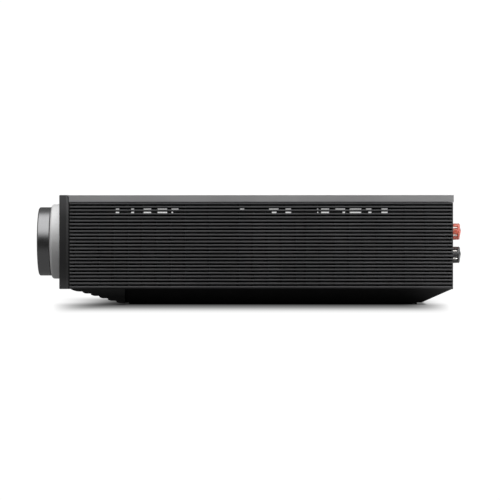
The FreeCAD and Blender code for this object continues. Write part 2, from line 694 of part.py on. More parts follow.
def inlet_pin_places():
    x, z = INLET
    return [(x - 7, z - 2), (x + 7, z - 2), (x, z + 2.5)]


def inlet_pins():
    tip = REAR_PANEL_OUT + 2 - 5.4
    return Part.makeCompound([block(x - 2, x + 2, REAR_PANEL_IN - 24, tip, z - 1, z + 1)
                              for x, z in inlet_pin_places()])


def rocker_housing():
    x, z = SWITCH
    flange = block(x - 11.5, x + 11.5, REAR_PANEL_OUT, REAR_PANEL_OUT + 1.6, z - 9.5, z + 9.5)
    case = block(x - 9.8, x + 9.8, REAR_PANEL_IN - 14, REAR_PANEL_OUT + 0.5, z - 8, z + 8)
    cavity = block(x - 8, x + 8, REAR_PANEL_OUT - 7, REAR_PANEL_OUT + 3, z - 6.9, z + 6.9)
    pivot = Part.makeCylinder(1.25, 18.6, Vector(x - 9.3, REAR_PANEL_OUT - 0.7, z), RIGHTWARD)
    blades = [block(x - 1.5, x + 1.5, REAR_PANEL_IN - 20, REAR_PANEL_IN - 13.5, z + dz - 0.4, z + dz + 0.4)
              for dz in (-5, 0, 5)]
    return joined([flange, case] + blades).cut(cavity).cut(pivot)


def power_rocker():
    """A rocker with two sloping faces, resting tipped to the off side."""
    x, z = SWITCH
    axis_y = REAR_PANEL_OUT - 0.7
    outline = [(axis_y - 3, z - 3), (axis_y + 3.8, z - 5.3), (axis_y + 2.4, z), (axis_y + 3.8, z + 5.3),
               (axis_y - 3, z + 3)]
    body = side_outline(outline, x - 7.6, x + 7.6)
    pins = Part.makeCylinder(1.2, 18, Vector(x - 9, axis_y, z), RIGHTWARD)
    body = joined([body, pins])
    body.rotate(Vector(x, axis_y, z), RIGHTWARD, -10)
    return body


def board_socket_sizes():
    """Low and high Z and the X span of each socket that stands on the main board."""
    top = MAIN_BOARD_TOP
    return [(top, top + 13.4, NETWORK_X - 8, NETWORK_X + 8),
            (top, top + 14.6, USB_X - 7.2, USB_X + 7.2),
            (top, top + 6.2, VIDEO_X - 7.6, VIDEO_X + 7.6)]


def network_socket():
    low, high, x0, x1 = board_socket_sizes()[0]
    mouth = REAR_PANEL_OUT + 1.2
    case = block(x0, x1, mouth - 20, mouth, low, high)
    cavity = block(x0 + 2.1, x1 - 2.1, mouth - 14, mouth + 1, low + 3.6, high - 1.6)
    latch = block(NETWORK_X - 3, NETWORK_X + 3, mouth - 14, mouth + 1, low + 1.4, low + 4)
    return without(case, [cavity, latch])


def usb_sockets():
    low, high, x0, x1 = board_socket_sizes()[1]
    mouth = REAR_PANEL_OUT + 1.2
    case = block(x0, x1, mouth - 16, mouth, low, high)
    parts = []
    for level in (low + 3.7, high - 3.7):
        case = case.cut(block(x0 + 0.9, x1 - 0.9, mouth - 12, mouth + 1, level - 2.8, level + 2.8))
        parts.append(block(x0 + 1.6, x1 - 1.6, mouth - 13, mouth - 1, level + 0.1, level + 1.9))
    return joined([case] + parts)


def video_socket():
    low, high, x0, x1 = board_socket_sizes()[2]
    mouth = REAR_PANEL_OUT + 0.8
    case = block(x0, x1, mouth - 12, mouth, low, high)
    outline = [(x0 + 2, low + 0.7), (x1 - 2, low + 0.7), (x1 - 0.6, low + 2.2), (x1 - 0.6, high - 0.7),
               (x0 + 0.6, high - 0.7), (x0 + 0.6, low + 2.2)]
    cavity = front_outline(outline, mouth - 9, mouth + 1)
    tongue = block(x0 + 2.2, x1 - 2.2, mouth - 10, mouth - 1, low + 2.6, low + 3.9)
    return joined([case.cut(cavity), tongue])


def optical_sockets():
    sockets = []
    for x in OPTICAL_X:
        mouth = REAR_PANEL_OUT + 1.6
        case = block(x - 5, x + 5, mouth - 14, mouth, OPTICAL_Z - 5, OPTICAL_Z + 5)
        opening = front_outline([(x - 3.2, OPTICAL_Z - 3.2), (x + 3.2, OPTICAL_Z - 3.2),
                                 (x + 3.2, OPTICAL_Z + 1.6), (x + 1.6, OPTICAL_Z + 3.2),
                                 (x - 1.6, OPTICAL_Z + 3.2), (x - 3.2, OPTICAL_Z + 1.6)],
                                mouth - 1.4, mouth + 1)
        sockets.append(case.cut(opening))
    return Part.makeCompound(sockets)


def mini_jacks():
    jacks = []
    for x in MINI_JACK_X:
        nose = rod(x, OPTICAL_Z, 3.0, REAR_PANEL_IN - 1, REAR_PANEL_OUT + 3)
        nut = hexagon(x, OPTICAL_Z, 8, REAR_PANEL_OUT, REAR_PANEL_OUT + 1.8)
        case = block(x - 4.5, x + 4.5, REAR_PANEL_IN - 13, REAR_PANEL_IN, OPTICAL_Z - 4.5, OPTICAL_Z + 4.5)
        bore = rod(x, OPTICAL_Z, 1.4, REAR_PANEL_IN - 8, REAR_PANEL_OUT + 4)
        jacks.append(joined([nose, nut, case]).cut(bore))
    return Part.makeCompound(jacks)


def phono_places():
    return [(x, z) for x in PHONO_COLUMNS for z in (RED_POST_Z, BLACK_POST_Z)]


def phono_shells():
    shells = []
    for x, z in phono_places():
        tube = rod(x, z, PHONO_R, REAR_PANEL_IN - 6, REAR_PANEL_OUT + 9.5)
        nut = hexagon(x, z, 11, REAR_PANEL_OUT, REAR_PANEL_OUT + 2)
        shells.append(joined([tube, nut]).cut(rod(x, z, 3.4, 140, 170)))
    return Part.makeCompound(shells)


def phono_insulators():
    cores = []
    for x, z in phono_places():
        core = rod(x, z, 3.4, REAR_PANEL_IN - 5, REAR_PANEL_OUT + 8.6)
        cores.append(core.cut(rod(x, z, 1.6, REAR_PANEL_IN - 2, REAR_PANEL_OUT + 10)))
    return Part.makeCompound(cores)


# Inside

def board(area, low):
    """A circuit board over an area given as X and Y limits."""
    x0, x1, y0, y1 = area
    return block(x0, x1, y0, y1, low, low + BOARD_THICK)


def power_board():
    top = LOW_BOARD + BOARD_THICK
    parts = [board(POWER_BOARD, LOW_BOARD)]
    parts += [block(-134, -118, -50 + 22 * i, -36 + 22 * i, top - 0.4, top + 18) for i in range(3)]
    parts += [block(-106, -102, -54, 6, top - 0.4, top + 34), block(-84, -80, 26, 92, top - 0.4, top + 34)]
    parts += [block(-42, -30, -48 + 20 * i, -36 + 20 * i, top - 0.4, top + 9) for i in range(4)]
    return joined(parts)


def power_transformer():
    low = LOW_BOARD + BOARD_THICK
    core = block(-76, -38, 36, 50, low + 6, low + 38)
    winding = block(-70, -44, 28, 58, low + 10, low + 34)
    foot = block(-78, -36, 28, 58, low, low + 6.5)
    return joined([core, winding, foot])


def bulk_capacitors():
    low = LOW_BOARD + BOARD_THICK
    cans = []
    for x in (-88, -62):
        for y in (-40, -14):
            can = post(x, y, 11, low, low + 45)
            top = [e for e in can.Edges if e.BoundBox.ZMin > low + 44.9 and e.BoundBox.XLength > 20]
            cans.append(can.makeFillet(1.2, top))
    return Part.makeCompound(cans)


def amp_board():
    top = LOW_BOARD + BOARD_THICK
    parts = [board(AMP_BOARD, LOW_BOARD)]
    parts += [block(28 + 18 * i, 40 + 18 * i, -100, -88, top - 0.4, top + 10) for i in range(6)]
    parts += [post(32 + 22 * i, -72, 6, top - 0.4, top + 26) for i in range(5)]
    return joined(parts)


def heat_sink():
    x0, x1, y0, y1 = SINK
    low = LOW_BOARD + BOARD_THICK
    middle = (y0 + y1) / 2
    plate = block(x0, x1, middle - 2.5, middle + 2.5, low, SINK_TOP)
    fins = [block(x0 + 8 * i, x0 + 8 * i + 1.6, y0, y1, low + 12, SINK_TOP) for i in range(14)]
    return joined([plate] + fins)


def output_coils():
    low = LOW_BOARD + BOARD_THICK
    coils = []
    for i in range(4):
        ring = Part.makeTorus(9, 4.5, Vector(40 + 27 * i, 20, low + 5.2), UP)
        foot = post(40 + 27 * i, 20, 6, low, low + 4)
        coils.append(joined([ring, foot]))
    return Part.makeCompound(coils)


def main_board():
    low = MAIN_BOARD_TOP - BOARD_THICK
    return board(MAIN_BOARD, low)


def standoffs():
    places = []
    for area, top in ((POWER_BOARD, LOW_BOARD), (AMP_BOARD, LOW_BOARD),
                      (MAIN_BOARD, MAIN_BOARD_TOP - BOARD_THICK)):
        x0, x1, y0, y1 = area
        places += [(x, y, top) for x in (x0 + 5, x1 - 5) for y in (y0 + 5, y1 - 5)]
    return Part.makeCompound([post(x, y, STANDOFF_R, FLOOR_TOP, top) for x, y, top in places])


def wire(points, radius, bend):
    """A round wire along straight runs with a rounded turn at each inner point."""
    corners = [Vector(*p) for p in points]
    edges = []
    start = corners[0]
    for before, corner, after in zip(corners, corners[1:], corners[2:]):
        back = (before - corner).normalize()
        ahead = (after - corner).normalize()
        half = back.getAngle(ahead) / 2
        reach = bend / math.tan(half)
        arc_start = corner + back * reach
        arc_end = corner + ahead * reach
        bisector = (back + ahead).normalize()
        middle = corner + bisector * (bend / math.sin(half) - bend)
        edges += [Part.makeLine(start, arc_start), Part.Arc(arc_start, middle, arc_end).toShape()]
        start = arc_end
    edges.append(Part.makeLine(start, corners[-1]))
    path = Part.Wire(edges)
    ahead = corners[1] - corners[0]
    section = Part.Wire(Part.makeCircle(radius, corners[0], ahead))
    return path.makePipeShell([section], True, False)


def mains_wires():
    x, z = INLET
    back = REAR_PANEL_IN - 24
    wires = []
    for offset in (-7, 7):
        wires.append(wire([(x + offset, back, z - 2), (x + offset, back - 9, z - 2),
                           (x + offset, back - 9, LOW_BOARD + 9), (x + offset, 109, LOW_BOARD + 9),
                           (x + offset, 109, LOW_BOARD + BOARD_THICK)], 1.1, 2.5))
    return Part.makeCompound(wires)


def speaker_wires():
    wires = []
    for z, x in ((RED_POST_Z, 136.0), (BLACK_POST_Z, 130.0)):
        wires.append(wire([(POST_X, 141, z), (POST_X, 126, z), (x, 90, LOW_BOARD + 14),
                           (x, 76, LOW_BOARD + 14), (x, 76, LOW_BOARD + BOARD_THICK)], 1.1, 4.0))
    return Part.makeCompound(wires)


def all_pieces():
    """Every sub-part by name."""
    pieces = {
        "front_plate": front_plate(), "display_window": display_window(),
        "display_module": display_module(), "remote_window": remote_window(), "lid": lid(),
        "side_panel_right": side_panel(right_rib_places()),
        "side_panel_left": mirrored(side_panel(left_rib_places())),
        "chassis_frame": chassis_frame(), "rear_panel": rear_panel(), "base_hull": base_hull(),
        "intake_louvre": intake_louvre(), "foot_rails": foot_rails(), "lid_screws": lid_screws(),
        "rear_panel_screws": rear_panel_screws(), "base_screws": base_screws(),
        "volume_knob": volume_knob(), "volume_shaft": volume_shaft(), "source_ring": source_ring(),
        "ring_shaft": ring_shaft(), "encoder_body": encoder_body(),
        "power_button": button(SMALL_COLUMN_X, power_button_z(), POWER_BUTTON_R),
        "headphone_jack": headphone_jack(), "control_board": control_board(),
        "post_bases_red": post_bases(RED_POST_Z), "post_bases_black": post_bases(BLACK_POST_Z),
        "post_studs": post_studs(), "mains_inlet": mains_inlet(), "inlet_pins": inlet_pins(),
        "rocker_housing": rocker_housing(), "power_rocker": power_rocker(),
        "network_socket": network_socket(), "usb_sockets": usb_sockets(),
        "video_socket": video_socket(), "optical_sockets": optical_sockets(),
        "mini_jacks": mini_jacks(), "phono_shells": phono_shells(),
        "phono_insulators": phono_insulators(), "power_board": power_board(),
        "power_transformer": power_transformer(), "bulk_capacitors": bulk_capacitors(),
        "amp_board": amp_board(), "heat_sink": heat_sink(), "output_coils": output_coils(),
        "main_board": main_board(), "standoffs": standoffs(),
        "mains_wires": mains_wires(), "speaker_wires": speaker_wires()}
    for name, z in zip(("info", "skip", "play", "back", "menu"), button_rows()):
        pieces[name + "_button"] = button(BUTTON_X, z, BUTTON_R)
    for side, x in (("right", POST_X), ("left", -POST_X)):
        for colour, z in (("red", RED_POST_Z), ("black", BLACK_POST_Z)):
            pieces[f"{side}_{colour}_cap"] = post_cap(x, z)
            pieces[f"{side}_{colour}_plug"] = post_plug(x, z)
    return pieces


os.makedirs("parts", exist_ok=True)
for node, shape in all_pieces().items():
    shape.exportStep(f"parts/{node}.step")
    print(f"{node}: {len(shape.Solids)} solid(s), {shape.Volume / 1000:.2f} cm3, valid {shape.isValid()}")
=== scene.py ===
import json
import math
import random

import bmesh
import bpy
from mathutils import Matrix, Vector


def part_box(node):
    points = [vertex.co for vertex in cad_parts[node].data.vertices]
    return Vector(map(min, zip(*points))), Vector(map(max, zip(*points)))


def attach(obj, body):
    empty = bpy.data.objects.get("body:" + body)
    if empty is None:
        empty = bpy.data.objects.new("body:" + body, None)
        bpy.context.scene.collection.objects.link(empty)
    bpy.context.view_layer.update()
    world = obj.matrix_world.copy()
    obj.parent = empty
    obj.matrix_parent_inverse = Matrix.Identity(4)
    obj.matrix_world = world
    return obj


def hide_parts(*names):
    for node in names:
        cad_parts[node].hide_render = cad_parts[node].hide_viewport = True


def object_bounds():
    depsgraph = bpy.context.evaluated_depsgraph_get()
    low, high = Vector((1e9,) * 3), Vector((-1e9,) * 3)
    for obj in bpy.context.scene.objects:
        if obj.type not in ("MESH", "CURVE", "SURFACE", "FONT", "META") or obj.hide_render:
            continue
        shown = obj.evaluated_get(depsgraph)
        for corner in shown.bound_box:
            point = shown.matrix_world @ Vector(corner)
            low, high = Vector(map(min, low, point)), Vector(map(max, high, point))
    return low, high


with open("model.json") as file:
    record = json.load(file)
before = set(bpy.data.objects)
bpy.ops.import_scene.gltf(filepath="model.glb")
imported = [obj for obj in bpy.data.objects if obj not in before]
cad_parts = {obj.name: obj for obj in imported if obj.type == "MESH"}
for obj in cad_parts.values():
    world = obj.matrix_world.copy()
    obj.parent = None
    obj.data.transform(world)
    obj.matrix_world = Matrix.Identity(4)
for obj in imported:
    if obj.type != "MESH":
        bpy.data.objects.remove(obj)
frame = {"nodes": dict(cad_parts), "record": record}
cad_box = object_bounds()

# Looks for a slim desktop stereo amplifier. Everything is in metres, in the frame's own axes:
# the front faces -Y, +X is to the right seen from the front, and Z is up.

MM = 0.001
random.seed(7)


# ---------------- shader helpers

class Graph:
    """Short calls for building a node tree."""

    def __init__(self, tree):
        self.tree = tree
        self.tree.nodes.clear()

    def add(self, kind, **settings):
        node = self.tree.nodes.new(kind)
        for key, value in settings.items():
            setattr(node, key, value)
        return node

    def join(self, source, target):
        self.tree.links.new(source, target)

    def spread(self, fac, low, high, start=0.35, end=0.65, ease="LINEAR"):
        """The factor remapped to run from low to high."""
        node = self.add("ShaderNodeMapRange", interpolation_type=ease)
        for name, value in (("From Min", start), ("From Max", end), ("To Min", low), ("To Max", high)):
            node.inputs[name].default_value = value
        self.join(fac, node.inputs["Value"])
        return node.outputs["Result"]

    def math(self, operation, a, b=None, clamp=False):
        node = self.add("ShaderNodeMath", operation=operation, use_clamp=clamp)
        for slot, value in enumerate((a, b)):
            if value is None:
                continue
            if isinstance(value, (int, float)):
                node.inputs[slot].default_value = value
            else:
                self.join(value, node.inputs[slot])
        return node.outputs[0]

    def ramp(self, fac, stops):
        """A grey level read from stops of (place, level)."""
        node = self.add("ShaderNodeValToRGB")
        marks = node.color_ramp.elements
        while len(marks) < len(stops):
            marks.new(0.5)
        for mark, (place, level) in zip(marks, stops):
            mark.position = place
            mark.color = (level, level, level, 1)
        self.join(fac, node.inputs["Fac"])
        return node.outputs["Color"]

    def axes(self, vector):
        """The X, Y and Z of a vector."""
        split = self.add("ShaderNodeSeparateXYZ")
        self.join(vector, split.inputs[0])
        return split.outputs


class Shader(Graph):
    """One procedural material: a principled surface with its noise, colour and relief."""

    def __init__(self, name, color, rough, metallic=0.0, **sockets):
        self.material = bpy.data.materials.new(name)
        self.material.use_nodes = True
        super().__init__(self.material.node_tree)
        out = self.add("ShaderNodeOutputMaterial")
        self.surface = self.add("ShaderNodeBsdfPrincipled")
        self.join(self.surface.outputs["BSDF"], out.inputs["Surface"])
        self.set("Base Color", (*color, 1.0))
        self.set("Roughness", rough)
        self.set("Metallic", metallic)
        for socket, value in sockets.items():
            self.set(socket.replace("_", " "), value)
        self.coords = self.add("ShaderNodeTexCoord").outputs["Object"]
        self.height = None

    def set(self, socket, value):
        self.surface.inputs[socket].default_value = value

    def stretched(self, stretch):
        """Object coordinates scaled by a factor on each axis."""
        mapping = self.add("ShaderNodeMapping")
        mapping.inputs["Scale"].default_value = stretch
        self.join(self.coords, mapping.inputs["Vector"])
        return mapping.outputs["Vector"]

    def noise(self, size, detail=3.0, stretch=(1, 1, 1), vector=None):
        """Noise whose features are about size metres across."""
        node = self.add("ShaderNodeTexNoise")
        node.inputs["Scale"].default_value = 1.0 / size
        node.inputs["Detail"].default_value = detail
        self.join(vector or self.stretched(stretch), node.inputs["Vector"])
        return node.outputs["Fac"]

    def blend(self, fac, dark, light):
        """A colour between two, or between colour outputs, by a factor."""
        node = self.add("ShaderNodeMix", data_type="RGBA")
        self.join(fac, node.inputs["Factor"])
        for socket, value in ((node.inputs[6], dark), (node.inputs[7], light)):
            if isinstance(value, tuple):
                socket.default_value = (*value, 1.0)
            else:
                self.join(value, socket)
        return node.outputs[2]

    def color(self, output):
        self.join(output, self.surface.inputs["Base Color"])

    def roughness(self, output):
        self.join(output, self.surface.inputs["Roughness"])

    def bump(self, height, depth, strength=1.0):
        """Adds relief; depth is the real height in metres of the whole 0 to 1 range."""
        node = self.add("ShaderNodeBump")
        node.inputs["Strength"].default_value = strength
        node.inputs["Distance"].default_value = depth
        self.join(height, node.inputs["Height"])
        if self.height:
            self.join(self.height, node.inputs["Normal"])
        self.height = node.outputs["Normal"]
        self.join(self.height, self.surface.inputs["Normal"])


def shade(color, factor):
    return tuple(min(1.0, c * factor) for c in color)


def varied(shader, color, spread=0.12, size=0.012, rough=0.4, rough_spread=0.06):
    """Gentle variation: colour in patches of about this size, gloss in larger smudges."""
    patches = shader.noise(size, 4.0)
    shader.color(shader.blend(shader.spread(patches, 0, 1), shade(color, 1 - spread),
                              shade(color, 1 + spread)))
    smudges = shader.noise(size * 2.7, 5.0, (1.0, 1.3, 0.8))
    shader.roughness(shader.spread(smudges, rough - rough_spread, rough + rough_spread))


BLAST_DEPTH = 0.000006


def blasted_metal(name, color, rough, grain=0.00022, spread=0.06):
    """Anodised aluminium blasted with fine beads: tiny even pits and faint clouding."""
    s = Shader(name, color, rough, 1.0)
    varied(s, color, spread, 0.03, rough, 0.03)
    s.bump(s.noise(grain, 2.0), BLAST_DEPTH)
    return s.material


def shade_painted_metal(name, color, rough, low, high, stops, grain):
    """Blasted metal whose colour follows grey stops up its height, set to match the photo's shading."""
    # painted light and shade: the base colour gets lighter or darker up the height
    s = Shader(name, color, rough, 1.0)
    height = s.spread(s.axes(s.coords)[2], 0, 1, low, high)
    clouds = s.spread(s.noise(0.03, 4.0), -0.03, 0.03)
    s.color(s.blend(s.ramp(s.math("ADD", height, clouds), stops), (0, 0, 0), color))
    s.roughness(s.spread(s.noise(0.05, 5.0), rough - 0.03, rough + 0.03))
    s.bump(s.noise(grain, 2.0), BLAST_DEPTH)
    return s.material


def shade_painted_plastic(name, color, rough, low, high, gloss=0.5):
    """Moulded plastic that darkens towards the table, set to match the photo's shading."""
    # painted shade: the base colour darkens towards the table
    s = Shader(name, color, rough, Specular_IOR_Level=gloss)
    height = s.spread(s.axes(s.coords)[2], 0.12, 1, low, high)
    specks = s.spread(s.noise(0.004, 4.0), 0.9, 1.1)
    s.color(s.blend(s.math("MULTIPLY", height, specks), (0, 0, 0), color))
    s.roughness(s.spread(s.noise(0.015, 5.0), rough - 0.05, rough + 0.05))
    s.bump(s.noise(0.0005, 3.0), 0.00001)
    return s.material


def turned_metal(name, color, rough, axis, groove=0.00012, depth=0.0000002):
    """Lathe-turned metal: fine rings about an axis along Y through axis = (x, z)."""
    s = Shader(name, color, rough, 1.0)
    x, y, z = s.axes(s.coords)
    dx = s.math("SUBTRACT", x, axis[0])
    dz = s.math("SUBTRACT", z, axis[1])
    radius = s.math("SQRT", s.math("ADD", s.math("MULTIPLY", dx, dx), s.math("MULTIPLY", dz, dz)))
    along = s.add("ShaderNodeCombineXYZ")
    s.join(radius, along.inputs[0])
    s.join(y, along.inputs[1])
    rings = s.noise(groove, 2.0, vector=along.outputs[0])
    s.bump(rings, depth)
    wear = s.noise(0.006, 4.0)
    s.color(s.blend(s.spread(rings, 0, 1, 0.3, 0.7), shade(color, 0.98), shade(color, 1.02)))
    s.roughness(s.spread(wear, rough - 0.02, rough + 0.02))
    return s.material


def coated_steel(name, color, rough=0.5):
    """Powder-coated sheet: a fine orange peel."""
    s = Shader(name, color, rough)
    varied(s, color, 0.10, 0.02, rough, 0.05)
    s.bump(s.noise(0.0006, 2.0), 0.000012)
    return s.material


def moulded(name, color, rough=0.45, grain=0.0005, depth=0.00001):
    """Moulded plastic with a fine spark-eroded texture."""
    s = Shader(name, color, rough)
    varied(s, color, 0.08, 0.015, rough, 0.05)
    s.bump(s.noise(grain, 3.0), depth)
    return s.material


def clear_gloss(name, color, glow):
    """Tinted clear plastic over a coloured core: deep colour, wet gloss, light inside."""
    s = Shader(name, color, 0.16, Coat_Weight=0.6, Coat_Roughness=0.05, IOR=1.5)
    s.set("Subsurface Weight", 0.5)
    s.set("Subsurface Radius", glow)
    s.set("Subsurface Scale", 0.004)
    varied(s, color, 0.07, 0.004, 0.16, 0.04)
    s.bump(s.noise(0.0015, 2.0), 0.000008)
    return s.material


def rubber(name, color):
    s = Shader(name, color, 0.8)
    varied(s, color, 0.2, 0.004, 0.8, 0.08)
    s.bump(s.noise(0.0003, 4.0), 0.00002)
    return s.material


def plated(name, color, rough=0.22):
    """Bright plating with fine drawing lines and faint tarnish."""
    s = Shader(name, color, rough, 1.0)
    tarnish = s.noise(0.003, 5.0)
    s.color(s.blend(s.spread(tarnish, 0, 1), shade(color, 0.85), shade(color, 1.05)))
    s.roughness(s.spread(tarnish, rough - 0.06, rough + 0.08))
    s.bump(s.noise(0.00015, 2.0, (1.0, 0.08, 1.0)), 0.000002)
    return s.material


def circuit_board(name, mask, copper):
    """Solder mask over copper: a right-angled trace pattern with pads and vias."""
    s = Shader(name, mask, 0.35, Coat_Weight=0.3, Coat_Roughness=0.2)
    cells = s.add("ShaderNodeTexBrick", offset=0.5, squash=0.6, squash_frequency=3)
    cells.inputs["Scale"].default_value = 1.0
    cells.inputs["Mortar Size"].default_value = 0.0005
    cells.inputs["Mortar Smooth"].default_value = 0.1
    cells.inputs["Brick Width"].default_value = 0.011
    cells.inputs["Row Height"].default_value = 0.0032
    cells.inputs["Color1"].default_value = (0, 0, 0, 1)
    cells.inputs["Color2"].default_value = (0.25, 0.25, 0.25, 1)
    cells.inputs["Mortar"].default_value = (1, 1, 1, 1)
    s.join(s.coords, cells.inputs["Vector"])
    dots = s.add("ShaderNodeTexVoronoi", feature="DISTANCE_TO_EDGE")
    dots.inputs["Scale"].default_value = 260.0
    s.join(s.coords, dots.inputs["Vector"])
    vias = s.spread(dots.outputs["Distance"], 0, 1, 0.42, 0.46)
    traces = s.math("MAXIMUM", cells.outputs["Color"], vias, clamp=True)
    s.color(s.blend(traces, mask, copper))
    s.bump(traces, 0.00004, 0.6)
    return s.material


def display_glass(name):
    """Dark hard-coated glass: nearly black with faint finger smears."""
    s = Shader(name, (0.006, 0.006, 0.008), 0.04, Coat_Weight=1.0, Coat_Roughness=0.02, IOR=1.52)
    smears = s.noise(0.02, 6.0, (1.0, 1.0, 2.5))
    s.roughness(s.spread(smears, 0.03, 0.09))
    edge = s.noise(0.05, 2.0)
    s.color(s.blend(s.spread(edge, 0, 1), (0.005, 0.005, 0.007), (0.009, 0.009, 0.012)))
    return s.material


def winding(name, color, pitch):
    """Lacquered wire wound side by side."""
    s = Shader(name, color, 0.28, 1.0, Coat_Weight=0.5, Coat_Roughness=0.1)
    turns = s.add("ShaderNodeTexWave", wave_type="BANDS", bands_direction="DIAGONAL")
    turns.inputs["Scale"].default_value = 1.0 / (pitch * 20)
    turns.inputs["Distortion"].default_value = 0.6
    s.join(s.stretched((1, 1, 1)), turns.inputs["Vector"])
    s.color(s.blend(turns.outputs["Fac"], shade(color, 0.5), color))
    s.bump(turns.outputs["Fac"], 0.0003)
    return s.material


def sleeve(name, color, stripe):
    """Shrunk sleeve over a capacitor can with a lighter stripe down it."""
    s = Shader(name, color, 0.3, Coat_Weight=0.3, Coat_Roughness=0.1)
    band = s.add("ShaderNodeTexWave", wave_type="BANDS", bands_direction="X")
    band.inputs["Scale"].default_value = 12.0
    s.join(s.coords, band.inputs["Vector"])
    s.color(s.blend(s.spread(band.outputs["Fac"], 0, 1, 0.93, 0.95), color, stripe))
    s.bump(s.noise(0.002, 3.0, (1, 1, 0.2)), 0.00003)
    return s.material


# ---------------- sizes read from the frame

def size_of(node):
    low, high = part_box(node)
    return low, high, (low + high) / 2


KNOB_LOW, KNOB_HIGH, KNOB_MID = size_of("volume_knob")
RING_LOW, RING_HIGH, _ = size_of("source_ring")
PLATE_LOW, PLATE_HIGH, _ = size_of("front_plate")
DIAL = (KNOB_MID.x, KNOB_MID.z)

# ---------------- materials by slot

SLATS = blasted_metal("slats_black", (0.225, 0.225, 0.23), 0.42)
# Painted shade: the ribs and the cable guide behind the vents are near black, darker than the slats' own
# finish, so the gaps look shaded
RECESS_SHADE_BLACK = coated_steel("recess_shade_black", (0.004, 0.004, 0.004), 0.7)
# Painted light and shade: share of the plate's colour at each share of its height, darkest low down,
# lightest at the top
FRONT_PAINTED_SHADE_STOPS = ((0.0, 0.52), (0.12, 0.32), (0.28, 0.27), (0.5, 0.35), (0.75, 0.53), (0.9, 0.85),
               (1.0, 1.0))
FRONT = shade_painted_metal("front_black", (0.315, 0.315, 0.32), 0.38, PLATE_LOW.z, PLATE_HIGH.z, FRONT_PAINTED_SHADE_STOPS,
                    grain=0.00018)
LID = blasted_metal("lid_grey", (0.81, 0.81, 0.815), 0.45, grain=0.00025, spread=0.02)
KNOB = turned_metal("knob_black", (0.32, 0.32, 0.325), 0.25, DIAL)
RING = turned_metal("ring_silver", (1.0, 1.0, 1.0), 0.78, DIAL)
STEEL = coated_steel("chassis_black", (0.02, 0.02, 0.022))
REAR = coated_steel("rear_black", (0.022, 0.022, 0.024), 0.42)
# Hull and louvre: painted shade, darker towards the table
HULL = shade_painted_plastic("hull_black", (0.04, 0.04, 0.041), 0.5, 0.006, 0.013)
LOUVRE = shade_painted_plastic("louvre_black", (0.012, 0.012, 0.0123), 0.6, 0.007, 0.0131, gloss=0.12)
RUBBER = rubber("rail_rubber", (0.018, 0.018, 0.018))
SCREW = plated("screw_black", (0.22, 0.22, 0.23), 0.35)
GLASS = display_glass("display_glass")
MODULE = moulded("display_body", (0.03, 0.03, 0.035), 0.4)
SHAFT = plated("shaft_steel", (0.6, 0.6, 0.6))
ENCODER = plated("encoder_case", (0.5, 0.5, 0.5))
KEY = blasted_metal("key_black", (0.25, 0.25, 0.255), 0.36, grain=0.00015)
JACK = moulded("jack_plastic", (0.03, 0.03, 0.03), 0.4)
BOARD = circuit_board("circuit_board", (0.008, 0.05, 0.028), (0.03, 0.14, 0.07))
POST_RED = clear_gloss("post_red", (1.0, 0.24, 0.17), (1.0, 0.35, 0.25))
POST_BLACK = clear_gloss("post_black", (0.09, 0.09, 0.091), (0.2, 0.2, 0.2))
INLAY = plated("post_inlay", (0.95, 0.93, 0.89), 0.34)
GOLD = plated("post_gold", (0.83, 0.62, 0.30))
SOCKET = moulded("socket_plastic", (0.025, 0.025, 0.026), 0.4)
NICKEL = plated("nickel", (0.68, 0.66, 0.62))
TIN = plated("socket_tin", (0.62, 0.62, 0.63), 0.3)
CORE = moulded("phono_core", (0.75, 0.75, 0.72), 0.35)
FERRITE = sleeve("transformer_tape", (0.45, 0.33, 0.05), (0.55, 0.45, 0.12))
CAN = sleeve("capacitor_sleeve", (0.03, 0.03, 0.045), (0.35, 0.35, 0.36))
SINK = blasted_metal("sink_black", (0.10, 0.10, 0.10), 0.5)
COIL = winding("coil_copper", (0.72, 0.36, 0.2), 0.0012)
BRASS = plated("standoff_brass", (0.72, 0.6, 0.36), 0.3)
WIRE = moulded("wire_black", (0.03, 0.03, 0.03), 0.45)

BY_SLOT = {
    "slats_black_anodised": SLATS, "front_black_anodised": FRONT, "lid_grey_anodised": LID,
    "chassis_steel": STEEL, "rear_steel": REAR, "hull_plastic": HULL, "rail_rubber": RUBBER,
    "screw_steel": SCREW, "display_glass": GLASS, "display_body": MODULE, "knob_black": KNOB,
    "ring_silver": RING, "shaft_steel": SHAFT, "encoder_case": ENCODER, "key_black": KEY,
    "jack_plastic": JACK, "circuit_board": BOARD, "post_red": POST_RED, "post_black": POST_BLACK,
    "post_metal": GOLD, "socket_plastic": SOCKET, "pin_metal": NICKEL, "socket_metal": TIN,
    "phono_metal": GOLD, "phono_core": CORE, "transformer_body": FERRITE, "capacitor_sleeve": CAN,
    "sink_black": SINK, "coil_copper": COIL, "standoff_brass": BRASS, "wire_black": WIRE,
    "wire_red": WIRE}

for part in frame["record"]["subparts"]:
    mesh = frame["nodes"][part["node"]].data
    mesh.materials.clear()
    mesh.materials.append(BY_SLOT[part["material_slot"]])


# ---------------- mesh helpers

def rounded(points, radius, steps=5, closed=True):
    """A 2-D outline with its corners rounded; radius is one number or one per corner."""
    radii = radius if isinstance(radius, (list, tuple)) else [radius] * len(points)
    count = len(points)
    path = []
    for i, corner in enumerate(points):
        if not closed and i in (0, count - 1) or radii[i] <= 0:
            path.append(tuple(corner))
            continue
        here = Vector(corner)
        back = (Vector(points[i - 1]) - here).normalized()
        ahead = (Vector(points[(i + 1) % count]) - here).normalized()
        half = back.angle(ahead) / 2
        reach = radii[i] / math.tan(half)
        centre = here + (back + ahead).normalized() * (radii[i] / math.sin(half))
        first = here + back * reach - centre
        last = here + ahead * reach - centre
        turn = first.angle_signed(last)
        for k in range(steps + 1):
            angle = -turn * k / steps
            path.append((centre.x + first.x * math.cos(angle) - first.y * math.sin(angle),
                         centre.y + first.x * math.sin(angle) + first.y * math.cos(angle)))
    return path


SHARP_ANGLE = math.radians(35)
MERGE_DISTANCE = 1e-7
UPRIGHT_SEGMENTS = 32


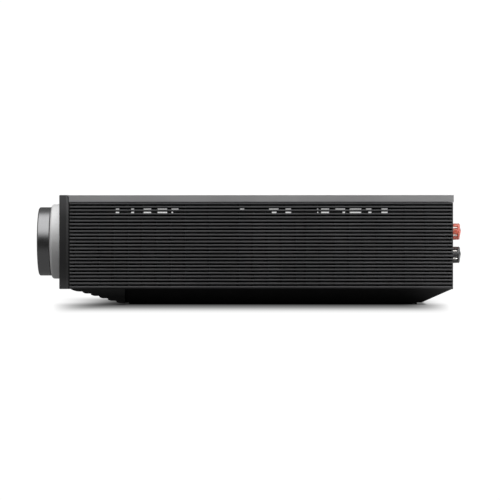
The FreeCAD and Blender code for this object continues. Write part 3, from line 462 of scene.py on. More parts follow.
class Build:
    """Collects vertices and faces of one piece."""

    def __init__(self):
        self.vertices = []
        self.faces = []

    def ring(self, points):
        start = len(self.vertices)
        self.vertices += [tuple(p) for p in points]
        return list(range(start, start + len(points)))

    def bridge(self, a, b):
        """Four-sided faces between two rings of the same number of points."""
        count = len(a)
        for i in range(count):
            j = (i + 1) % count
            self.faces.append((a[i], a[j], b[j], b[i]))

    def cap(self, ring):
        self.faces.append(tuple(ring))

    def stack(self, rings):
        """A closed skin through rings of points, with both ends capped."""
        rows = [self.ring(points) for points in rings]
        for a, b in zip(rows, rows[1:]):
            self.bridge(a, b)
        self.cap(rows[0])
        self.cap(rows[-1])

    def bar(self, outline, place, start, end, chamfer):
        """An outline swept straight along one axis, its end edges chamfered."""
        centre = Vector((sum(p[0] for p in outline), sum(p[1] for p in outline))) / len(outline)

        def shrunk(by):
            out = []
            for p in outline:
                arm = Vector(p) - centre
                reach = max(arm.length - by, 0.0) / arm.length
                out.append(centre + arm * reach)
            return out

        stops = [(start, chamfer), (start + chamfer, 0), (end - chamfer, 0), (end, chamfer)]
        self.stack([[place(p[0], p[1], level) for p in shrunk(by)] for level, by in stops])

    def box(self, low, high, edge=0.0):
        """A box with its edges chamfered."""
        x0, y0, z0 = low
        x1, y1, z1 = high
        rings = []
        for z, by in ((z0, edge), (z0 + edge, 0), (z1 - edge, 0), (z1, edge)):
            a, b, c, d = x0 + by, x1 - by, y0 + by, y1 - by
            rings.append([(a + edge, c, z), (b - edge, c, z), (b, c + edge, z), (b, d - edge, z),
                          (b - edge, d, z), (a + edge, d, z), (a, d - edge, z), (a, c + edge, z)])
        self.stack(rings)

    def lathe(self, profile, centre, segments, closed=True, bend=None):
        """A profile of (radius, y) turned about an axis along Y through centre = (x, z)."""
        rows = []
        for radius, y in profile:
            points = []
            for k in range(segments):
                angle = 2 * math.pi * k / segments
                r = bend(radius, y, angle) if bend else radius
                points.append((centre[0] + r * math.cos(angle), y, centre[1] + r * math.sin(angle)))
            rows.append(self.ring(points))
        for a, b in zip(rows, rows[1:]):
            self.bridge(a, b)
        if closed:
            self.bridge(rows[-1], rows[0])
        else:
            self.cap(rows[0])
            self.cap(rows[-1])

    def upright(self, x, y, profile):
        """A profile of (radius, z) turned about a vertical axis."""
        angles = [2 * math.pi * k / UPRIGHT_SEGMENTS for k in range(UPRIGHT_SEGMENTS)]
        self.stack([[(x + r * math.cos(a), y + r * math.sin(a), z) for a in angles] for r, z in profile])

    def finish(self, name, material, body, slot, replaces=()):
        """Makes the piece: cleans its mesh, shades it smooth, gives it its material, hangs it from its body
        and hides the parts it replaces.
        """
        mesh = bpy.data.meshes.new(name)
        mesh.from_pydata(self.vertices, [], self.faces)
        work = bmesh.new()
        work.from_mesh(mesh)
        bmesh.ops.remove_doubles(work, verts=work.verts, dist=MERGE_DISTANCE)
        bmesh.ops.dissolve_degenerate(work, edges=work.edges, dist=MERGE_DISTANCE)
        bmesh.ops.recalc_face_normals(work, faces=work.faces)
        work.to_mesh(mesh)
        work.free()
        for polygon in mesh.polygons:
            polygon.use_smooth = True
        mesh.set_sharp_from_angle(angle=SHARP_ANGLE)
        mesh.materials.append(material)
        obj = bpy.data.objects.new(name, mesh)
        bpy.context.scene.collection.objects.link(obj)
        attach(obj, body)
        if replaces:
            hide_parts(*replaces)


# ---------------- slatted side panels

SLAT_COUNT = 25
SLAT_THICK = 1.36 * MM
SLAT_DEEP = 5.0 * MM
SLAT_EDGE = 0.09 * MM
SLAT_LEAD = 0.5 * MM
BORDER = 1.02 * MM
BORDER_ROUND = 1.1 * MM
RIB_THICK = 2.2 * MM
END_STRIP = 1.2 * MM
WINDOW_PITCH = 11.7 * MM
WINDOW_LONG = 9.3 * MM

# Right-hand vents, from the panel's front edge: each bank's first window and how many
WINDOW_BANKS = ((24.1 * MM, 6), (138.4 * MM, 4), (193.4 * MM, 6))
RIGHT_PLAIN_RIBS = (3 * MM, 112.8 * MM, 272.8 * MM, 289.8 * MM, 309.6 * MM)
LEFT_RIBS = (3 * MM, 10 * MM, 86.4 * MM, 104.2 * MM, 122 * MM, 183.4 * MM, 192 * MM, 273.4 * MM,
             289.8 * MM, 309.6 * MM)


def right_rib_places():
    bar = WINDOW_PITCH - WINDOW_LONG
    places = list(RIGHT_PLAIN_RIBS)
    for first, count in WINDOW_BANKS:
        places += [first - bar / 2 + WINDOW_PITCH * i for i in range(count + 1)]
    return places


def slatted_panel(node, side, rib_places):
    """Twenty-five rounded slats on dark upright ribs; the lowest has a rounded border under it."""
    low, high, _ = size_of(node)
    outer = max(abs(low.x), abs(high.x))
    inner = min(abs(low.x), abs(high.x))
    pitch = (high.z - low.z - BORDER - SLAT_THICK) / (SLAT_COUNT - 1)
    slats = Build()
    ribs = Build()

    def place(x, z, y):
        return (side * x, y, z)

    def upright(depth, y0, y1, z0):
        ends = sorted((side * inner, side * depth))
        ribs.box((ends[0], y0, z0), (ends[1], y1, high.z - 0.1 * MM), 0.2 * MM)

    for i in range(SLAT_COUNT):
        top = high.z - pitch * i
        bottom = top - SLAT_THICK
        corner = SLAT_EDGE
        if i == SLAT_COUNT - 1:
            bottom = low.z
            corner = BORDER_ROUND
        outline = rounded([(outer - SLAT_DEEP, bottom), (outer, bottom), (outer, top),
                           (outer - SLAT_DEEP, top)], [0, corner, SLAT_EDGE, 0], 4)
        slats.bar(outline, place, low.y - SLAT_LEAD, high.y, 0.1 * MM)
    for place_from_front in rib_places:
        y = low.y + place_from_front
        upright(outer - SLAT_DEEP + 0.4 * MM, y - RIB_THICK / 2, y + RIB_THICK / 2, low.z + 0.2 * MM)
    upright(outer - 0.4 * MM, high.y - END_STRIP, high.y - 0.03 * MM, low.z + 1.3 * MM)
    slats.finish(node + "_slats", SLATS, "case", "slats_black_anodised", replaces=[node])
    # the ribs take the near-black painted shade
    ribs.finish(node + "_ribs", RECESS_SHADE_BLACK, "case", "slats_black_anodised", replaces=[node])


slatted_panel("side_panel_right", 1, right_rib_places())
slatted_panel("side_panel_left", -1, LEFT_RIBS)


# Fingers of the guide that keeps wires clear of the right-hand vents: front, rear and top, in
# millimetres. They stand where the photo shows dark gaps between the dashes of light.
GUIDE_FINGERS = (
    (-121.5, -107.5, 83.4), (-104.6, -94.8, 83.4), (-92.4, -84.6, 83.4), (-78.4, -73.1, 83.4),
    (-65.3, -61.7, 83.4), (-60.4, -55.9, 77.3), (-55.9, -51.0, 83.4),
    (-6.6, -2.1, 77.3), (-2.1, 18.1, 83.4), (18.1, 20.6, 77.3), (24.3, 26.0, 77.3), (26.0, 31.7, 83.4),
    (36.2, 39.6, 83.4),
    (48.0, 57.7, 83.4), (67.3, 71.0, 83.4), (71.0, 78.4, 77.3), (80.4, 82.9, 83.4), (95.1, 97.6, 83.4),
    (97.6, 99.5, 77.3), (101.9, 110.2, 83.4), (115.2, 118.0, 83.4))
GUIDE_BARS = ((-123.0, -49.0), (-8.0, 41.0), (46.0, 120.0))
GUIDE_WIRES = (75.6 * MM, 78.3 * MM)
WIRE_HALF = 0.14 * MM
GUIDE_GAP = 1.4 * MM
GUIDE_FOOT = (64 * MM, 72 * MM)
FINGER_FOOT = 71 * MM


def cable_guide():
    """A moulded comb inside the right-hand wall, in three lengths, one behind each bank of vents."""
    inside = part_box("side_panel_right")[0].x - GUIDE_GAP
    foot, shoulder = GUIDE_FOOT
    build = Build()
    for front, rear in GUIDE_BARS:
        build.box((inside - 3 * MM, front * MM, foot), (inside, rear * MM, shoulder), 0.3 * MM)
        for wire in GUIDE_WIRES:
            build.box((inside - 1.2 * MM, front * MM, wire - WIRE_HALF),
                      (inside - 0.7 * MM, rear * MM, wire + WIRE_HALF))
    for front, rear, top in GUIDE_FINGERS:
        build.box((inside - 2 * MM, front * MM, FINGER_FOOT),
                  (inside - 0.2 * MM, rear * MM, top * MM), 0.15 * MM)
    # the guide takes the near-black painted shade
    build.finish("vent_cable_guide", RECESS_SHADE_BLACK, "case", "socket_plastic")


cable_guide()


# ---------------- intake louvre under the front

BLADES = 6
FIRST_BLADE_LONG = 9.4 * MM
FIRST_BLADE_FALL = 2.4 * MM
BLADE_GAP = 0.4 * MM
BLADE_TAIL = 0.9 * MM
BLADE_STEPS = 8
BLADE_CHAMFER = 0.1 * MM
FIRST_DROP = 1.85 * MM
DROP_SHARE = 0.64
DROP_SHARE_LOSS = 0.06
WEB_HALF = 0.8 * MM
WEB_PLACES = (-0.125, -0.075, -0.025, 0.025, 0.075, 0.125)


def blade(y, z, long, fall, level_from, drop):
    """A blade's outline: a blunt nose, an underside that drops, and a level stretch behind it."""
    under = []
    for k in range(BLADE_STEPS + 1):
        along = k / BLADE_STEPS
        under.append((y + level_from * long * along, z - drop * (1 - (1 - along) ** 2)))
    rear = y + long - BLADE_GAP
    return [(y, z + fall / 2)] + under + [(rear, z - drop), (rear, z - drop + BLADE_TAIL)]


def intake_louvre():
    """Six blades across the base, each lower than the one before it, joined by upright webs."""
    low, high, _ = size_of("intake_louvre")
    long = (high.y - low.y - FIRST_BLADE_LONG) / (BLADES - 1)
    fall = (high.z - low.z - FIRST_BLADE_FALL) / (BLADES - 1)
    build = Build()

    def place(y, z, x):
        return (x, y, z)

    first = blade(low.y, high.z - 0.2 * MM, FIRST_BLADE_LONG, 0.3 * MM, 0.75, FIRST_DROP)
    build.bar(first, place, low.x, high.x, BLADE_CHAMFER)
    for i in range(BLADES - 1):
        y = low.y + FIRST_BLADE_LONG + long * i
        z = high.z - FIRST_BLADE_FALL - fall * i
        drop = min(fall * (DROP_SHARE - DROP_SHARE_LOSS * i), z - low.z)
        build.bar(blade(y, z, long, fall, 0.5, drop), place, low.x, high.x, BLADE_CHAMFER)
    web = [(low.y + 3 * MM, high.z), (high.y, low.z + BLADE_TAIL), (high.y, high.z)]
    ends = (low.x + WEB_HALF, high.x - WEB_HALF)
    for x in WEB_PLACES + ends:
        build.bar(web, place, x - WEB_HALF + 0.05 * MM, x + WEB_HALF - 0.05 * MM, 0.05 * MM)
    build.finish("intake_louvre_blades", LOUVRE, "case", "hull_plastic", replaces=["intake_louvre"])


intake_louvre()


# ---------------- volume knob and source ring

DIAL_SEGMENTS = 224


def knob():
    r = (KNOB_HIGH.x - KNOB_LOW.x) / 2
    front = KNOB_LOW.y
    back = KNOB_HIGH.y
    face = rounded([(0, front + 0.45 * MM), (r - 4.6 * MM, front + 0.35 * MM), (r - 4.0 * MM, front),
                    (r - 0.9 * MM, front), (r, front + 0.9 * MM), (r, back - 0.25 * MM),
                    (r - 0.25 * MM, back), (r - 3 * MM, back), (r - 3 * MM, front + 4 * MM),
                    (7 * MM, front + 4 * MM), (7 * MM, back - 1 * MM), (3 * MM, back - 1 * MM),
                    (3 * MM, front + 2.5 * MM), (0, front + 2.5 * MM)],
                   [0, 0.3 * MM, 0.3 * MM, 0.35 * MM, 0.35 * MM, 0, 0, 0, 0, 0, 0, 0, 0, 0], 4, False)
    build = Build()
    build.lathe(face[1:-1], DIAL, DIAL_SEGMENTS, closed=False)
    build.finish("volume_knob_body", KNOB, "volume_dial", "knob_black", replaces=["volume_knob"])


def ring():
    r = (RING_HIGH.x - RING_LOW.x) / 2
    front = RING_LOW.y
    back = RING_HIGH.y
    hub = 4.5 * MM
    outline = rounded([(hub, front), (r, front), (r, back), (r - 3.5 * MM, back),
                       (r - 3.5 * MM, front + 3 * MM), (8.5 * MM, front + 3 * MM),
                       (8.5 * MM, back - 0.7 * MM), (hub, back - 0.7 * MM)],
                      [0, 2.4 * MM, 0.3 * MM, 0, 0.5 * MM, 0.5 * MM, 0, 0], 8)
    build = Build()
    build.lathe(outline, DIAL, DIAL_SEGMENTS)
    build.finish("source_ring_body", RING, "source_dial", "ring_silver", replaces=["source_ring"])


knob()
ring()


# ---------------- binding posts

FLUTES = 6
FLUTE_R = 1.9 * MM
FLUTE_OUT = 0.9 * MM
POST_SEGMENTS = 180
PLUG_R = 3.5 * MM
CAP_SHOULDER = 1.4 * MM
INLAY_R = 0.8 * MM
INLAY_REACH = 5.95 * MM


def fluted(cap_r, start, end):
    """Radius of a cap's skin: six round flutes that fade out at the ends of their run."""
    reach = cap_r + FLUTE_OUT
    fade = 0.7 * MM
    step = 2 * math.pi / FLUTES

    def radius(r, y, angle):
        if not start < y < end:
            return r
        off = abs((angle % step) - step / 2)
        side = reach * math.sin(off)
        if side >= FLUTE_R:
            return r
        cut = reach * math.cos(off) - math.sqrt(FLUTE_R ** 2 - side ** 2)
        share = min(1.0, (y - start) / fade, (end - y) / fade)
        share = share * share * (3 - 2 * share)
        return r - max(0.0, r - cut) * share

    return radius


def post_cap(side, colour, material):
    node = f"{side}_{colour}_cap"
    low, high, mid = size_of(node)
    r = (high.z - low.z) / 2
    bore = PLUG_R + 0.05 * MM
    skin = rounded([(3.1 * MM, low.y), (r, low.y), (r, high.y), (bore, high.y)],
                   [0, 0.4 * MM, CAP_SHOULDER, 0.15 * MM], 6, False)
    turn = next(i for i, p in enumerate(skin) if p[1] > mid.y)
    first = low.y + 0.5 * MM
    last = high.y - CAP_SHOULDER - 0.1 * MM
    stations = [first + (last - first) * k / 24 for k in range(25)]
    outside = skin[:turn] + [(r, y) for y in stations] + skin[turn:]
    inside = [(bore, high.y - 4 * MM), (2.1 * MM, high.y - 4 * MM), (2.1 * MM, low.y + 13.1 * MM),
              (3.1 * MM, low.y + 13.1 * MM)]
    build = Build()
    build.lathe(outside + inside, (mid.x, mid.z), POST_SEGMENTS, bend=fluted(r, low.y - 1 * MM, last))
    build.finish(node + "_grip", material, f"{side}_{colour}_grip", f"post_{colour}", replaces=[node])
    strips = Build()
    for i in range(FLUTES):
        angle = 2 * math.pi * (i + 0.5) / FLUTES
        centre = (mid.x + INLAY_REACH * math.cos(angle), mid.z + INLAY_REACH * math.sin(angle))
        strip = [(0.3 * MM, low.y + 0.3 * MM), (INLAY_R, low.y + 0.7 * MM), (INLAY_R, high.y - 2.9 * MM),
                 (0.7 * INLAY_R, high.y - 2.3 * MM), (0.2 * MM, high.y - 2.0 * MM)]
        strips.lathe(strip, centre, 24, closed=False)
    strips.finish(node + "_inlays", INLAY, f"{side}_{colour}_grip", "pin_metal")


def post_plug(side, colour, material):
    node = f"{side}_{colour}_plug"
    low, high, mid = size_of(node)
    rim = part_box(f"{side}_{colour}_cap")[1].y
    rise = high.y - rim
    ball = (PLUG_R * PLUG_R + rise * rise) / (2 * rise)
    half = math.asin(PLUG_R / ball)
    dome = [(ball * math.sin(half * k / 8), high.y - ball + ball * math.cos(half * k / 8))
            for k in range(1, 9)]
    profile = dome + [(PLUG_R, rim - 3.9 * MM), (1.7 * MM, rim - 3.9 * MM),
                      (1.7 * MM, low.y + 0.4 * MM), (1.3 * MM, low.y)]
    build = Build()
    build.lathe(profile, (mid.x, mid.z), 96, closed=False)
    build.finish(node + "_dome", material, f"{side}_{colour}_carriage", f"post_{colour}", replaces=[node])


for post_side in ("right", "left"):
    for post_colour, post_material in (("red", POST_RED), ("black", POST_BLACK)):
        post_cap(post_side, post_colour, post_material)
        post_plug(post_side, post_colour, post_material)


# ---------------- front: key marks, display, jack rim

MARK_HIGH = 0.03 * MM


def mark_prism(build, outline, x, z, face):
    """A flat mark standing just proud of a face that looks to -Y."""
    near = [(x + px, face - MARK_HIGH, z + pz) for px, pz in outline]
    far = [(x + px, face + MARK_HIGH, z + pz) for px, pz in outline]
    build.stack([near, far])


def square(x0, x1, z0, z1):
    return [(x0 * MM, z0 * MM), (x1 * MM, z0 * MM), (x1 * MM, z1 * MM), (x0 * MM, z1 * MM)]


def arc_band(radius, width, start, end, steps=20):
    """Outline of a curved stroke between two angles in degrees."""
    angles = [math.radians(start + (end - start) * k / steps) for k in range(steps + 1)]
    outer = [((radius + width / 2) * MM * math.cos(a), (radius + width / 2) * MM * math.sin(a))
             for a in angles]
    inner = [((radius - width / 2) * MM * math.cos(a), (radius - width / 2) * MM * math.sin(a))
             for a in angles]
    return outer + inner[::-1]


def triangle(x0, x1, half):
    return [(x0 * MM, -half * MM), (x1 * MM, 0.0), (x0 * MM, half * MM)]


KEY_MARKS = {
    "info_button": ("info_key", [arc_band(1.55, 0.3, 0, 180), arc_band(1.55, 0.3, 180, 360),
                                 arc_band(0.25, 0.5, 0, 180, 8), arc_band(0.25, 0.5, 180, 360, 8)]),
    "skip_button": ("skip_key", [triangle(-1.6, -0.1, 1.1), triangle(-0.1, 1.4, 1.1),
                                 square(1.35, 1.7, -1.1, 1.1)]),
    "play_button": ("play_key", [triangle(-1.7, 0.2, 1.2), square(0.45, 0.85, -1.2, 1.2),
                                 square(1.25, 1.65, -1.2, 1.2)]),
    "back_button": ("back_key", [triangle(1.6, 0.1, 1.1), triangle(0.1, -1.4, 1.1),
                                 square(-1.7, -1.35, -1.1, 1.1)]),
    "menu_button": ("menu_key", [square(-1.5, 1.5, 0.75, 1.05), square(-1.5, 1.5, -0.15, 0.15),
                                 square(-1.5, 1.5, -1.05, -0.75)]),
    "power_button": ("power_key", [arc_band(1.9, 0.36, 125, 415), square(-0.18, 0.18, 0.7, 2.5)])}


def key_marks():
    for node, (body, outlines) in KEY_MARKS.items():
        low, _, mid = size_of(node)
        build = Build()
        for outline in outlines:
            mark_prism(build, outline, mid.x, mid.z, low.y)
        build.finish(node + "_mark", MARK, body, "key_black")


LEVEL_COUNT = 36
BAR_HALF = 0.9 * MM


def display_detail():
    """The display's resting picture: a row of plain bars of different heights."""
    low, high, mid = size_of("display_window")
    front = low.y
    foot = mid.z - 8 * MM
    build = Build()
    wide = high.x - low.x - 30 * MM
    for k in range(LEVEL_COUNT):
        x = mid.x - wide / 2 + wide * (k + 0.5) / LEVEL_COUNT
        swell = math.exp(-((k - 11) / 7.0) ** 2) + 0.7 * math.exp(-((k - 25) / 5.0) ** 2)
        tall = (1.2 + 13 * swell * (0.75 + 0.25 * math.sin(k * 2.3))) * MM
        near = [(x - BAR_HALF, front, foot), (x + BAR_HALF, front, foot),
                (x + BAR_HALF, front, foot + tall), (x - BAR_HALF, front, foot + tall)]
        build.stack([[(px, py - 0.01 * MM, pz) for px, py, pz in near],
                     [(px, py + 0.05 * MM, pz) for px, py, pz in near]])
    build.finish("display_level_bars", BARS, "case", "display_glass")


def jack_rim():
    low, _, mid = size_of("headphone_jack")
    front = low.y
    build = Build()
    build.lathe([(1.9 * MM, front + 0.1 * MM), (2.1 * MM, front - 0.05 * MM), (3.1 * MM, front - 0.05 * MM),
                 (3.3 * MM, front + 0.15 * MM), (3.3 * MM, front + 0.3 * MM), (1.9 * MM, front + 0.3 * MM)],
                (mid.x, mid.z), 64)
    build.finish("headphone_jack_rim", NICKEL, "case", "pin_metal")


MARK = moulded("mark_white", (0.62, 0.62, 0.62), 0.5)
BARS = moulded("bars_blue", (0.05, 0.10, 0.13), 0.25, 0.0008)
key_marks()
display_detail()
jack_rim()


# ---------------- rear: print, phono rings, contacts

def rear_face():
    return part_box("rear_panel")[1].y


def frame_line(build, x0, x1, z0, z1, width=0.35 * MM, corner=1.5 * MM):
    """A printed line round a group of sockets, as thin as ink."""
    y = rear_face()
    outer = rounded([(x0, z0), (x1, z0), (x1, z1), (x0, z1)], corner, 5)
    inner = rounded([(x0 + width, z0 + width), (x1 - width, z0 + width), (x1 - width, z1 - width),
                     (x0 + width, z1 - width)], corner - width, 5)
    low = [build.ring([(x, y - 0.01 * MM, z) for x, z in loop]) for loop in (outer, inner)]
    top = [build.ring([(x, y + 0.02 * MM, z) for x, z in loop]) for loop in (outer, inner)]
    build.bridge(top[0], top[1])
    build.bridge(low[0], low[1])
    build.bridge(low[0], top[0])
    build.bridge(low[1], top[1])


def rear_print():
    build = Build()
    groups = [(["phono_shells"], 4), (["network_socket", "usb_sockets", "video_socket"], 4),
              (["optical_sockets"], 3), (["mini_jacks"], 3), (["mains_inlet"], 3), (["rocker_housing"], 2.2)]
    for nodes, margin in groups:
        lows = [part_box(n)[0] for n in nodes]
        highs = [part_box(n)[1] for n in nodes]
        m = margin * MM
        frame_line(build, min(p.x for p in lows) - m, max(p.x for p in highs) + m,
                   min(p.z for p in lows) - m, max(p.z for p in highs) + m)
    for cap_low, cap_high in (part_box("right_red_cap"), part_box("left_red_cap")):
        cx = (cap_low.x + cap_high.x) / 2
        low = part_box("right_black_cap")[0].z
        frame_line(build, cx - 10.5 * MM, cx + 10.5 * MM, low - 6 * MM, cap_high.z + 6 * MM)
    build.finish("rear_panel_print", MARK, "case", "phono_core")


PHONO_CORE_R = 3.4 * MM
PHONO_PITCH = 14 * MM


def phono_rings():
    """Coloured washers that tell the phono sockets apart: white above, red below."""
    cores_low, cores_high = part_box("phono_insulators")
    y = rear_face() + 2 * MM
    columns = [cores_low.x + PHONO_CORE_R + PHONO_PITCH * i for i in range(3)]
    rows = [cores_high.z - PHONO_CORE_R, cores_low.z + PHONO_CORE_R]
    for name, z, material in (("white", rows[0], CORE), ("red", rows[1], POST_RED)):
        build = Build()
        for x in columns:
            build.lathe([(4.2 * MM, y), (6.2 * MM, y), (6.4 * MM, y + 0.2 * MM), (6.4 * MM, y + 0.7 * MM),
                         (6.1 * MM, y + 0.9 * MM), (4.2 * MM, y + 0.9 * MM)], (x, z), 48)
        slot = "phono_core" if name == "white" else "post_red"
        build.finish(f"phono_rings_{name}", material, "case", slot)


def network_contacts():
    low, high, mid = size_of("network_socket")
    build = Build()
    for i in range(8):
        x = mid.x + (i - 3.5) * 1.02 * MM
        top = high.z - 1.7 * MM
        build.box((x - 0.18 * MM, high.y - 12 * MM, top - 1.4 * MM),
                  (x + 0.18 * MM, high.y - 2.5 * MM, top), 0.05 * MM)
    build.finish("network_socket_contacts", GOLD, "case", "post_metal")
    lamps = Build()
    for sign in (-1, 1):
        x = mid.x + sign * 5.6 * MM
        lamps.box((x - 1.2 * MM, high.y - 0.5 * MM, low.z + 0.9 * MM),
                  (x + 1.2 * MM, high.y + 0.15 * MM, low.z + 2.5 * MM), 0.15 * MM)
    lamps.finish("network_socket_lamps", LAMP, "case", "phono_core")


LAMP = clear_gloss("lamp_green", (0.05, 0.25, 0.06), (0.2, 1.0, 0.2))
rear_print()
phono_rings()
network_contacts()


# ---------------- parts on the boards

def chip(build, x, y, z, wide, long, tall, legs=8):
    """A chip with a row of legs down each side."""
    build.box((x - wide / 2, y - long / 2, z + 0.2 * MM),
              (x + wide / 2, y + long / 2, z + tall), 0.25 * MM)
    step = long / (legs + 1)
    for i in range(legs):
        for sign in (-1, 1):
            foot = x + sign * (wide / 2 + 0.4 * MM)
            at = y - long / 2 + step * (i + 1)
            build.box((foot - 0.5 * MM, at - 0.15 * MM, z),
                      (foot + 0.5 * MM, at + 0.15 * MM, z + 0.6 * MM), 0.05 * MM)


def can(build, x, y, z, r, tall):
    """An electrolytic capacitor: crimped near its foot and scored on top."""
    build.upright(x, y, [(r * 0.96, z), (r, z + 0.3 * MM), (r, z + tall * 0.12), (r * 0.93, z + tall * 0.16),
                         (r, z + tall * 0.2), (r, z + tall - 0.6 * MM), (r * 0.9, z + tall),
                         (r * 0.7, z + tall), (r * 0.68, z + tall - 0.2 * MM)])


def scatter(node, name, area, count, seed):
    """Small parts over a free area of a board, kept apart from each other."""
    rng = random.Random(seed)
    x0, x1, y0, y1 = [v * MM for v in area]
    top = LOW_TOP[node]
    spots = []
    chips, cans = Build(), Build()
    tries = 0
    while len(spots) < count and tries < count * 40:
        tries += 1
        x, y = rng.uniform(x0, x1), rng.uniform(y0, y1)
        r = rng.uniform(2.0, 5.0) * MM
        if any((x - a) ** 2 + (y - b) ** 2 < (r + c + 1 * MM) ** 2 for a, b, c in spots):
            continue
        spots.append((x, y, r))
        if rng.random() < 0.5:
            can(cans, x, y, top, r * 0.8, rng.uniform(7, 18) * MM)
        else:
            chip(chips, x, y, top, r, r * 1.3, rng.uniform(1.2, 2.4) * MM, 4)
    chips.finish(name + "_chips", SOCKET, "case", "socket_plastic")
    cans.finish(name + "_cans", CAN, "case", "capacitor_sleeve")


def board_top(area_node):
    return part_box(area_node)[0].z + 1.6 * MM


LOW_TOP = {n: board_top(n) for n in ("power_board", "amp_board", "main_board")}
scatter("power_board", "power_board", (-136, -112, 20, 108), 24, 3)
scatter("amp_board", "amp_board", (22, 120, 42, 76), 26, 5)
scatter("main_board", "main_board", (-12, 50, 94, 128), 26, 9)


# ---------------- stage: floor, light, camera

FLOOR_SIZE = 60.0
# How strongly the floor lights the object: beside it, and behind its right-hand posts
FLOOR_GLOW = 0.16
REAR_GLOW = 1.0
BACKDROP_WHITE = 1.03

# The shadow drawn on the floor, fitted to the photo: brightness from SHADOW_NEAR to SHADOW_FAR along +X,
# a shorter fade towards -X along a slanting line, and how each end starts and narrows
SHADOW_NEAR = 0.10
SHADOW_FAR = 0.60
SHADOW_STOPS = ((0, 0.05), (0.15, 0.112), (0.35, 0.285), (0.54, 0.6), (0.71, 0.86), (0.86, 0.97), (1, 1))
LEFT_SLANT = 0.377
LEFT_NEAR = -0.06
LEFT_FAR = -0.38
FRONT_END = ((0.1723, 0.085), (0.046, 0.1))
REAR_END = ((0.1695, 0.0245), (0.040, 0.06))
BESIDE_X = 0.16
NARROWEST_END = 0.012
CONTACT_REACH = 0.004
CONTACT_DARK = 0.65


def make_floor():
    """A white floor with a soft shadow drawn by its own material; the lights cast none on it."""
    mesh = bpy.data.meshes.new("floor")
    half = FLOOR_SIZE / 2
    mesh.from_pydata([(-half, -half, 0), (half, -half, 0), (half, half, 0), (-half, half, 0)],
                     [], [(0, 1, 2, 3)])
    floor = bpy.data.objects.new("floor", mesh)
    bpy.context.scene.collection.objects.link(floor)
    material = bpy.data.materials.new("floor_paper")
    material.use_nodes = True
    g = Graph(material.node_tree)
    x, y, _ = g.axes(g.add("ShaderNodeTexCoord").outputs["Object"])
    right = g.ramp(g.spread(x, 0.0, 1.0, SHADOW_NEAR, SHADOW_FAR), SHADOW_STOPS)
    slanted = g.math("SUBTRACT", x, g.math("MULTIPLY", y, LEFT_SLANT))
    left = g.spread(slanted, 0.0, 1.0, LEFT_NEAR, LEFT_FAR, "SMOOTHSTEP")
    depth = g.math("SUBTRACT", 1.0, g.math("MAXIMUM", right, left))
    ends = g.math("MULTIPLY", shadow_end(g, x, y, 1.0, *FRONT_END), shadow_end(g, x, y, -1.0, *REAR_END))
    long_shadow = g.math("SUBTRACT", 1.0, g.math("MULTIPLY", ends, depth))
    contact = g.math("SUBTRACT", 1.0, occlusion(g, CONTACT_REACH, CONTACT_DARK, 0.98, 0.5))
    shading = g.math("MULTIPLY", long_shadow, contact)
    beside = g.spread(g.math("ABSOLUTE", x), FLOOR_GLOW, FLOOR_GLOW * 0.3, 0.17, 0.28)
    behind = g.math("MULTIPLY", g.spread(y, 0.0, REAR_GLOW, 0.17, 0.20),
                    g.spread(x, 1.0, 0.0, 0.14, 0.25))
    bounce = g.math("MAXIMUM", beside, behind)
    to_camera = g.add("ShaderNodeLightPath").outputs["Is Camera Ray"]
    level = g.math("MAXIMUM", g.math("MULTIPLY", to_camera, BACKDROP_WHITE), bounce)
    out = g.add("ShaderNodeOutputMaterial")
    glow = g.add("ShaderNodeEmission")
    glow.inputs["Color"].default_value = (1, 1, 1, 1)
    g.join(g.math("MULTIPLY", shading, level), glow.inputs["Strength"])
    g.join(glow.outputs[0], out.inputs["Surface"])
    mesh.materials.append(material)
    floor.visible_shadow = False


def shadow_end(g, x, y, side, start, width):
    """How far inside one end of the long shadow a point is; the end narrows and draws in along +X.

    The start and the width are each a value and how much it loses with x. The width's value is the one
    at BESIDE_X.
    """
    edge = g.math("SUBTRACT", start[0], g.math("MULTIPLY", x, start[1]))
    inside = g.math("ADD", edge, g.math("MULTIPLY", y, side))
    span = g.math("ADD", width[0], g.math("MULTIPLY", g.math("SUBTRACT", BESIDE_X, x), width[1]))
    t = g.math("DIVIDE", inside, g.math("MAXIMUM", span, NARROWEST_END), clamp=True)
    left_over = g.math("SUBTRACT", 1.0, t)
    smooth = g.spread(t, 0.0, 1.0, 0.0, 1.0, "SMOOTHSTEP")
    quick = g.math("MULTIPLY", g.math("MULTIPLY", left_over, left_over), g.math("MULTIPLY", t, 2.0))
    return g.math("ADD", smooth, g.math("MULTIPLY", quick, g.spread(x, 0.0, 1.0, 0.0, BESIDE_X)))


def occlusion(g, reach, deepest, start, end):
    """How dark nearby geometry makes a point, from 0 to the deepest."""
    near = g.add("ShaderNodeAmbientOcclusion", samples=16)
    near.inputs["Distance"].default_value = reach
    return g.spread(near.outputs["AO"], 0.0, deepest, start, end)


SOFTBOX_TILT = math.radians(64)
SOFTBOX_HALF = math.radians(31)
SOFTBOX_EDGE = math.radians(26)
SOFTBOX_POWER = 1.75
SIDE_LIGHT_AT = (0.9, 0.9, 0.6)
SIDE_LIGHT_SIZE = 1.0
SIDE_LIGHT_WATTS = 1.4


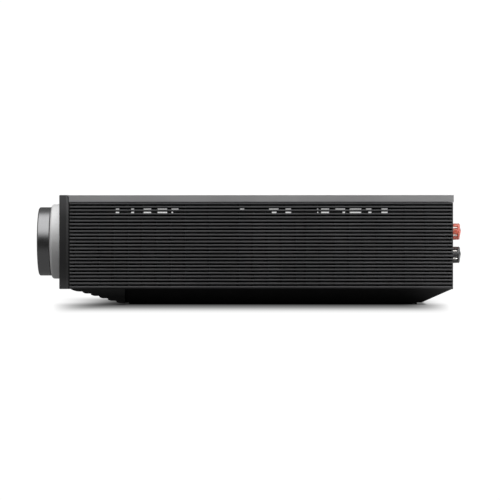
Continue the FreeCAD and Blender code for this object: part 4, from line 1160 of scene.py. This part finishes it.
def make_light():
    """A studio as a world: white to the camera; to the object, a big softbox above and to the right,

    with fainter light from above and from both ends.
    """
    world = bpy.data.worlds.new("studio")
    bpy.context.scene.world = world
    world.use_nodes = True
    g = Graph(world.node_tree)
    out = g.add("ShaderNodeOutputWorld")
    direction = g.add("ShaderNodeTexCoord").outputs["Generated"]
    aim = g.add("ShaderNodeVectorMath", operation="DOT_PRODUCT")
    aim.inputs[1].default_value = (math.cos(SOFTBOX_TILT), 0.0, math.sin(SOFTBOX_TILT))
    g.join(direction, aim.inputs[0])
    box = g.spread(aim.outputs["Value"], 0.0, SOFTBOX_POWER, math.cos(SOFTBOX_HALF + SOFTBOX_EDGE),
                   math.cos(SOFTBOX_HALF - SOFTBOX_EDGE / 2), "SMOOTHERSTEP")
    _, y, z = g.axes(direction)
    above = g.spread(z, 0.02, 0.35, 0.0, 1.0)
    ends = g.math("MULTIPLY", g.math("MULTIPLY", y, y), 0.3)
    total = g.math("ADD", g.math("ADD", box, above), ends)
    studio = g.add("ShaderNodeBackground")
    g.join(total, studio.inputs["Strength"])
    white = g.add("ShaderNodeBackground")
    white.inputs["Color"].default_value = (1, 1, 1, 1)
    white.inputs["Strength"].default_value = BACKDROP_WHITE
    seen = g.add("ShaderNodeMixShader")
    g.join(g.add("ShaderNodeLightPath").outputs["Is Camera Ray"], seen.inputs[0])
    g.join(studio.outputs[0], seen.inputs[1])
    g.join(white.outputs[0], seen.inputs[2])
    g.join(seen.outputs[0], out.inputs["Surface"])


def make_area_light(name, place, size, watts):
    """A square light that faces the middle of the object."""
    data = bpy.data.lights.new(name, "AREA")
    data.shape = "SQUARE"
    data.size = size
    data.energy = watts
    light = bpy.data.objects.new(name, data)
    bpy.context.scene.collection.objects.link(light)
    light.location = place
    light.rotation_euler = (Vector((0, 0, 0.05)) - light.location).to_track_quat("-Z", "Y").to_euler()


SPOT_AT = (0.80, 1.20, 0.22)
SPOT_AIM = (0.125, 0.176, 0.05)
SPOT_WATTS = 95.0
SPOT_ANGLE = math.radians(2.9)
SPOT_RADIUS = 0.06


def make_spot():
    """A narrow spot that lifts the right-hand pair of posts towards their level in the photo."""
    data = bpy.data.lights.new("post_spot", "SPOT")
    data.energy = SPOT_WATTS
    data.spot_size = SPOT_ANGLE
    data.spot_blend = 0.5
    data.shadow_soft_size = SPOT_RADIUS
    light = bpy.data.objects.new("post_spot", data)
    bpy.context.scene.collection.objects.link(light)
    light.location = SPOT_AT
    light.rotation_euler = (Vector(SPOT_AIM) - light.location).to_track_quat("-Z", "Y").to_euler()


CAMERA_DISTANCE = 2.9
CAMERA_SWING = math.radians(1.6)
EYE_HEIGHT = 0.045
VIEW_WIDTH = 0.4079
AIM_Y = 0.0029
SENSOR = 36.0


def make_camera():
    """Level with the middle of the right-hand side, a little towards the rear, from far away."""
    camera = bpy.data.objects.new("camera", bpy.data.cameras.new("camera"))
    bpy.context.scene.collection.objects.link(camera)
    side = cad_box[1].x
    target = Vector((side, AIM_Y, EYE_HEIGHT))
    away = Vector((math.cos(CAMERA_SWING), math.sin(CAMERA_SWING), 0))
    camera.location = target + away * CAMERA_DISTANCE
    camera.rotation_euler = (target - camera.location).to_track_quat("-Z", "Y").to_euler()
    camera.data.sensor_width = SENSOR
    camera.data.lens = SENSOR * CAMERA_DISTANCE / VIEW_WIDTH
    camera.data.clip_end = 200.0
    bpy.context.scene.camera = camera


make_floor()
make_light()
make_area_light("side_light", SIDE_LIGHT_AT, SIDE_LIGHT_SIZE, SIDE_LIGHT_WATTS)
make_spot()
make_camera()
bpy.context.scene.view_settings.view_transform = "Standard"
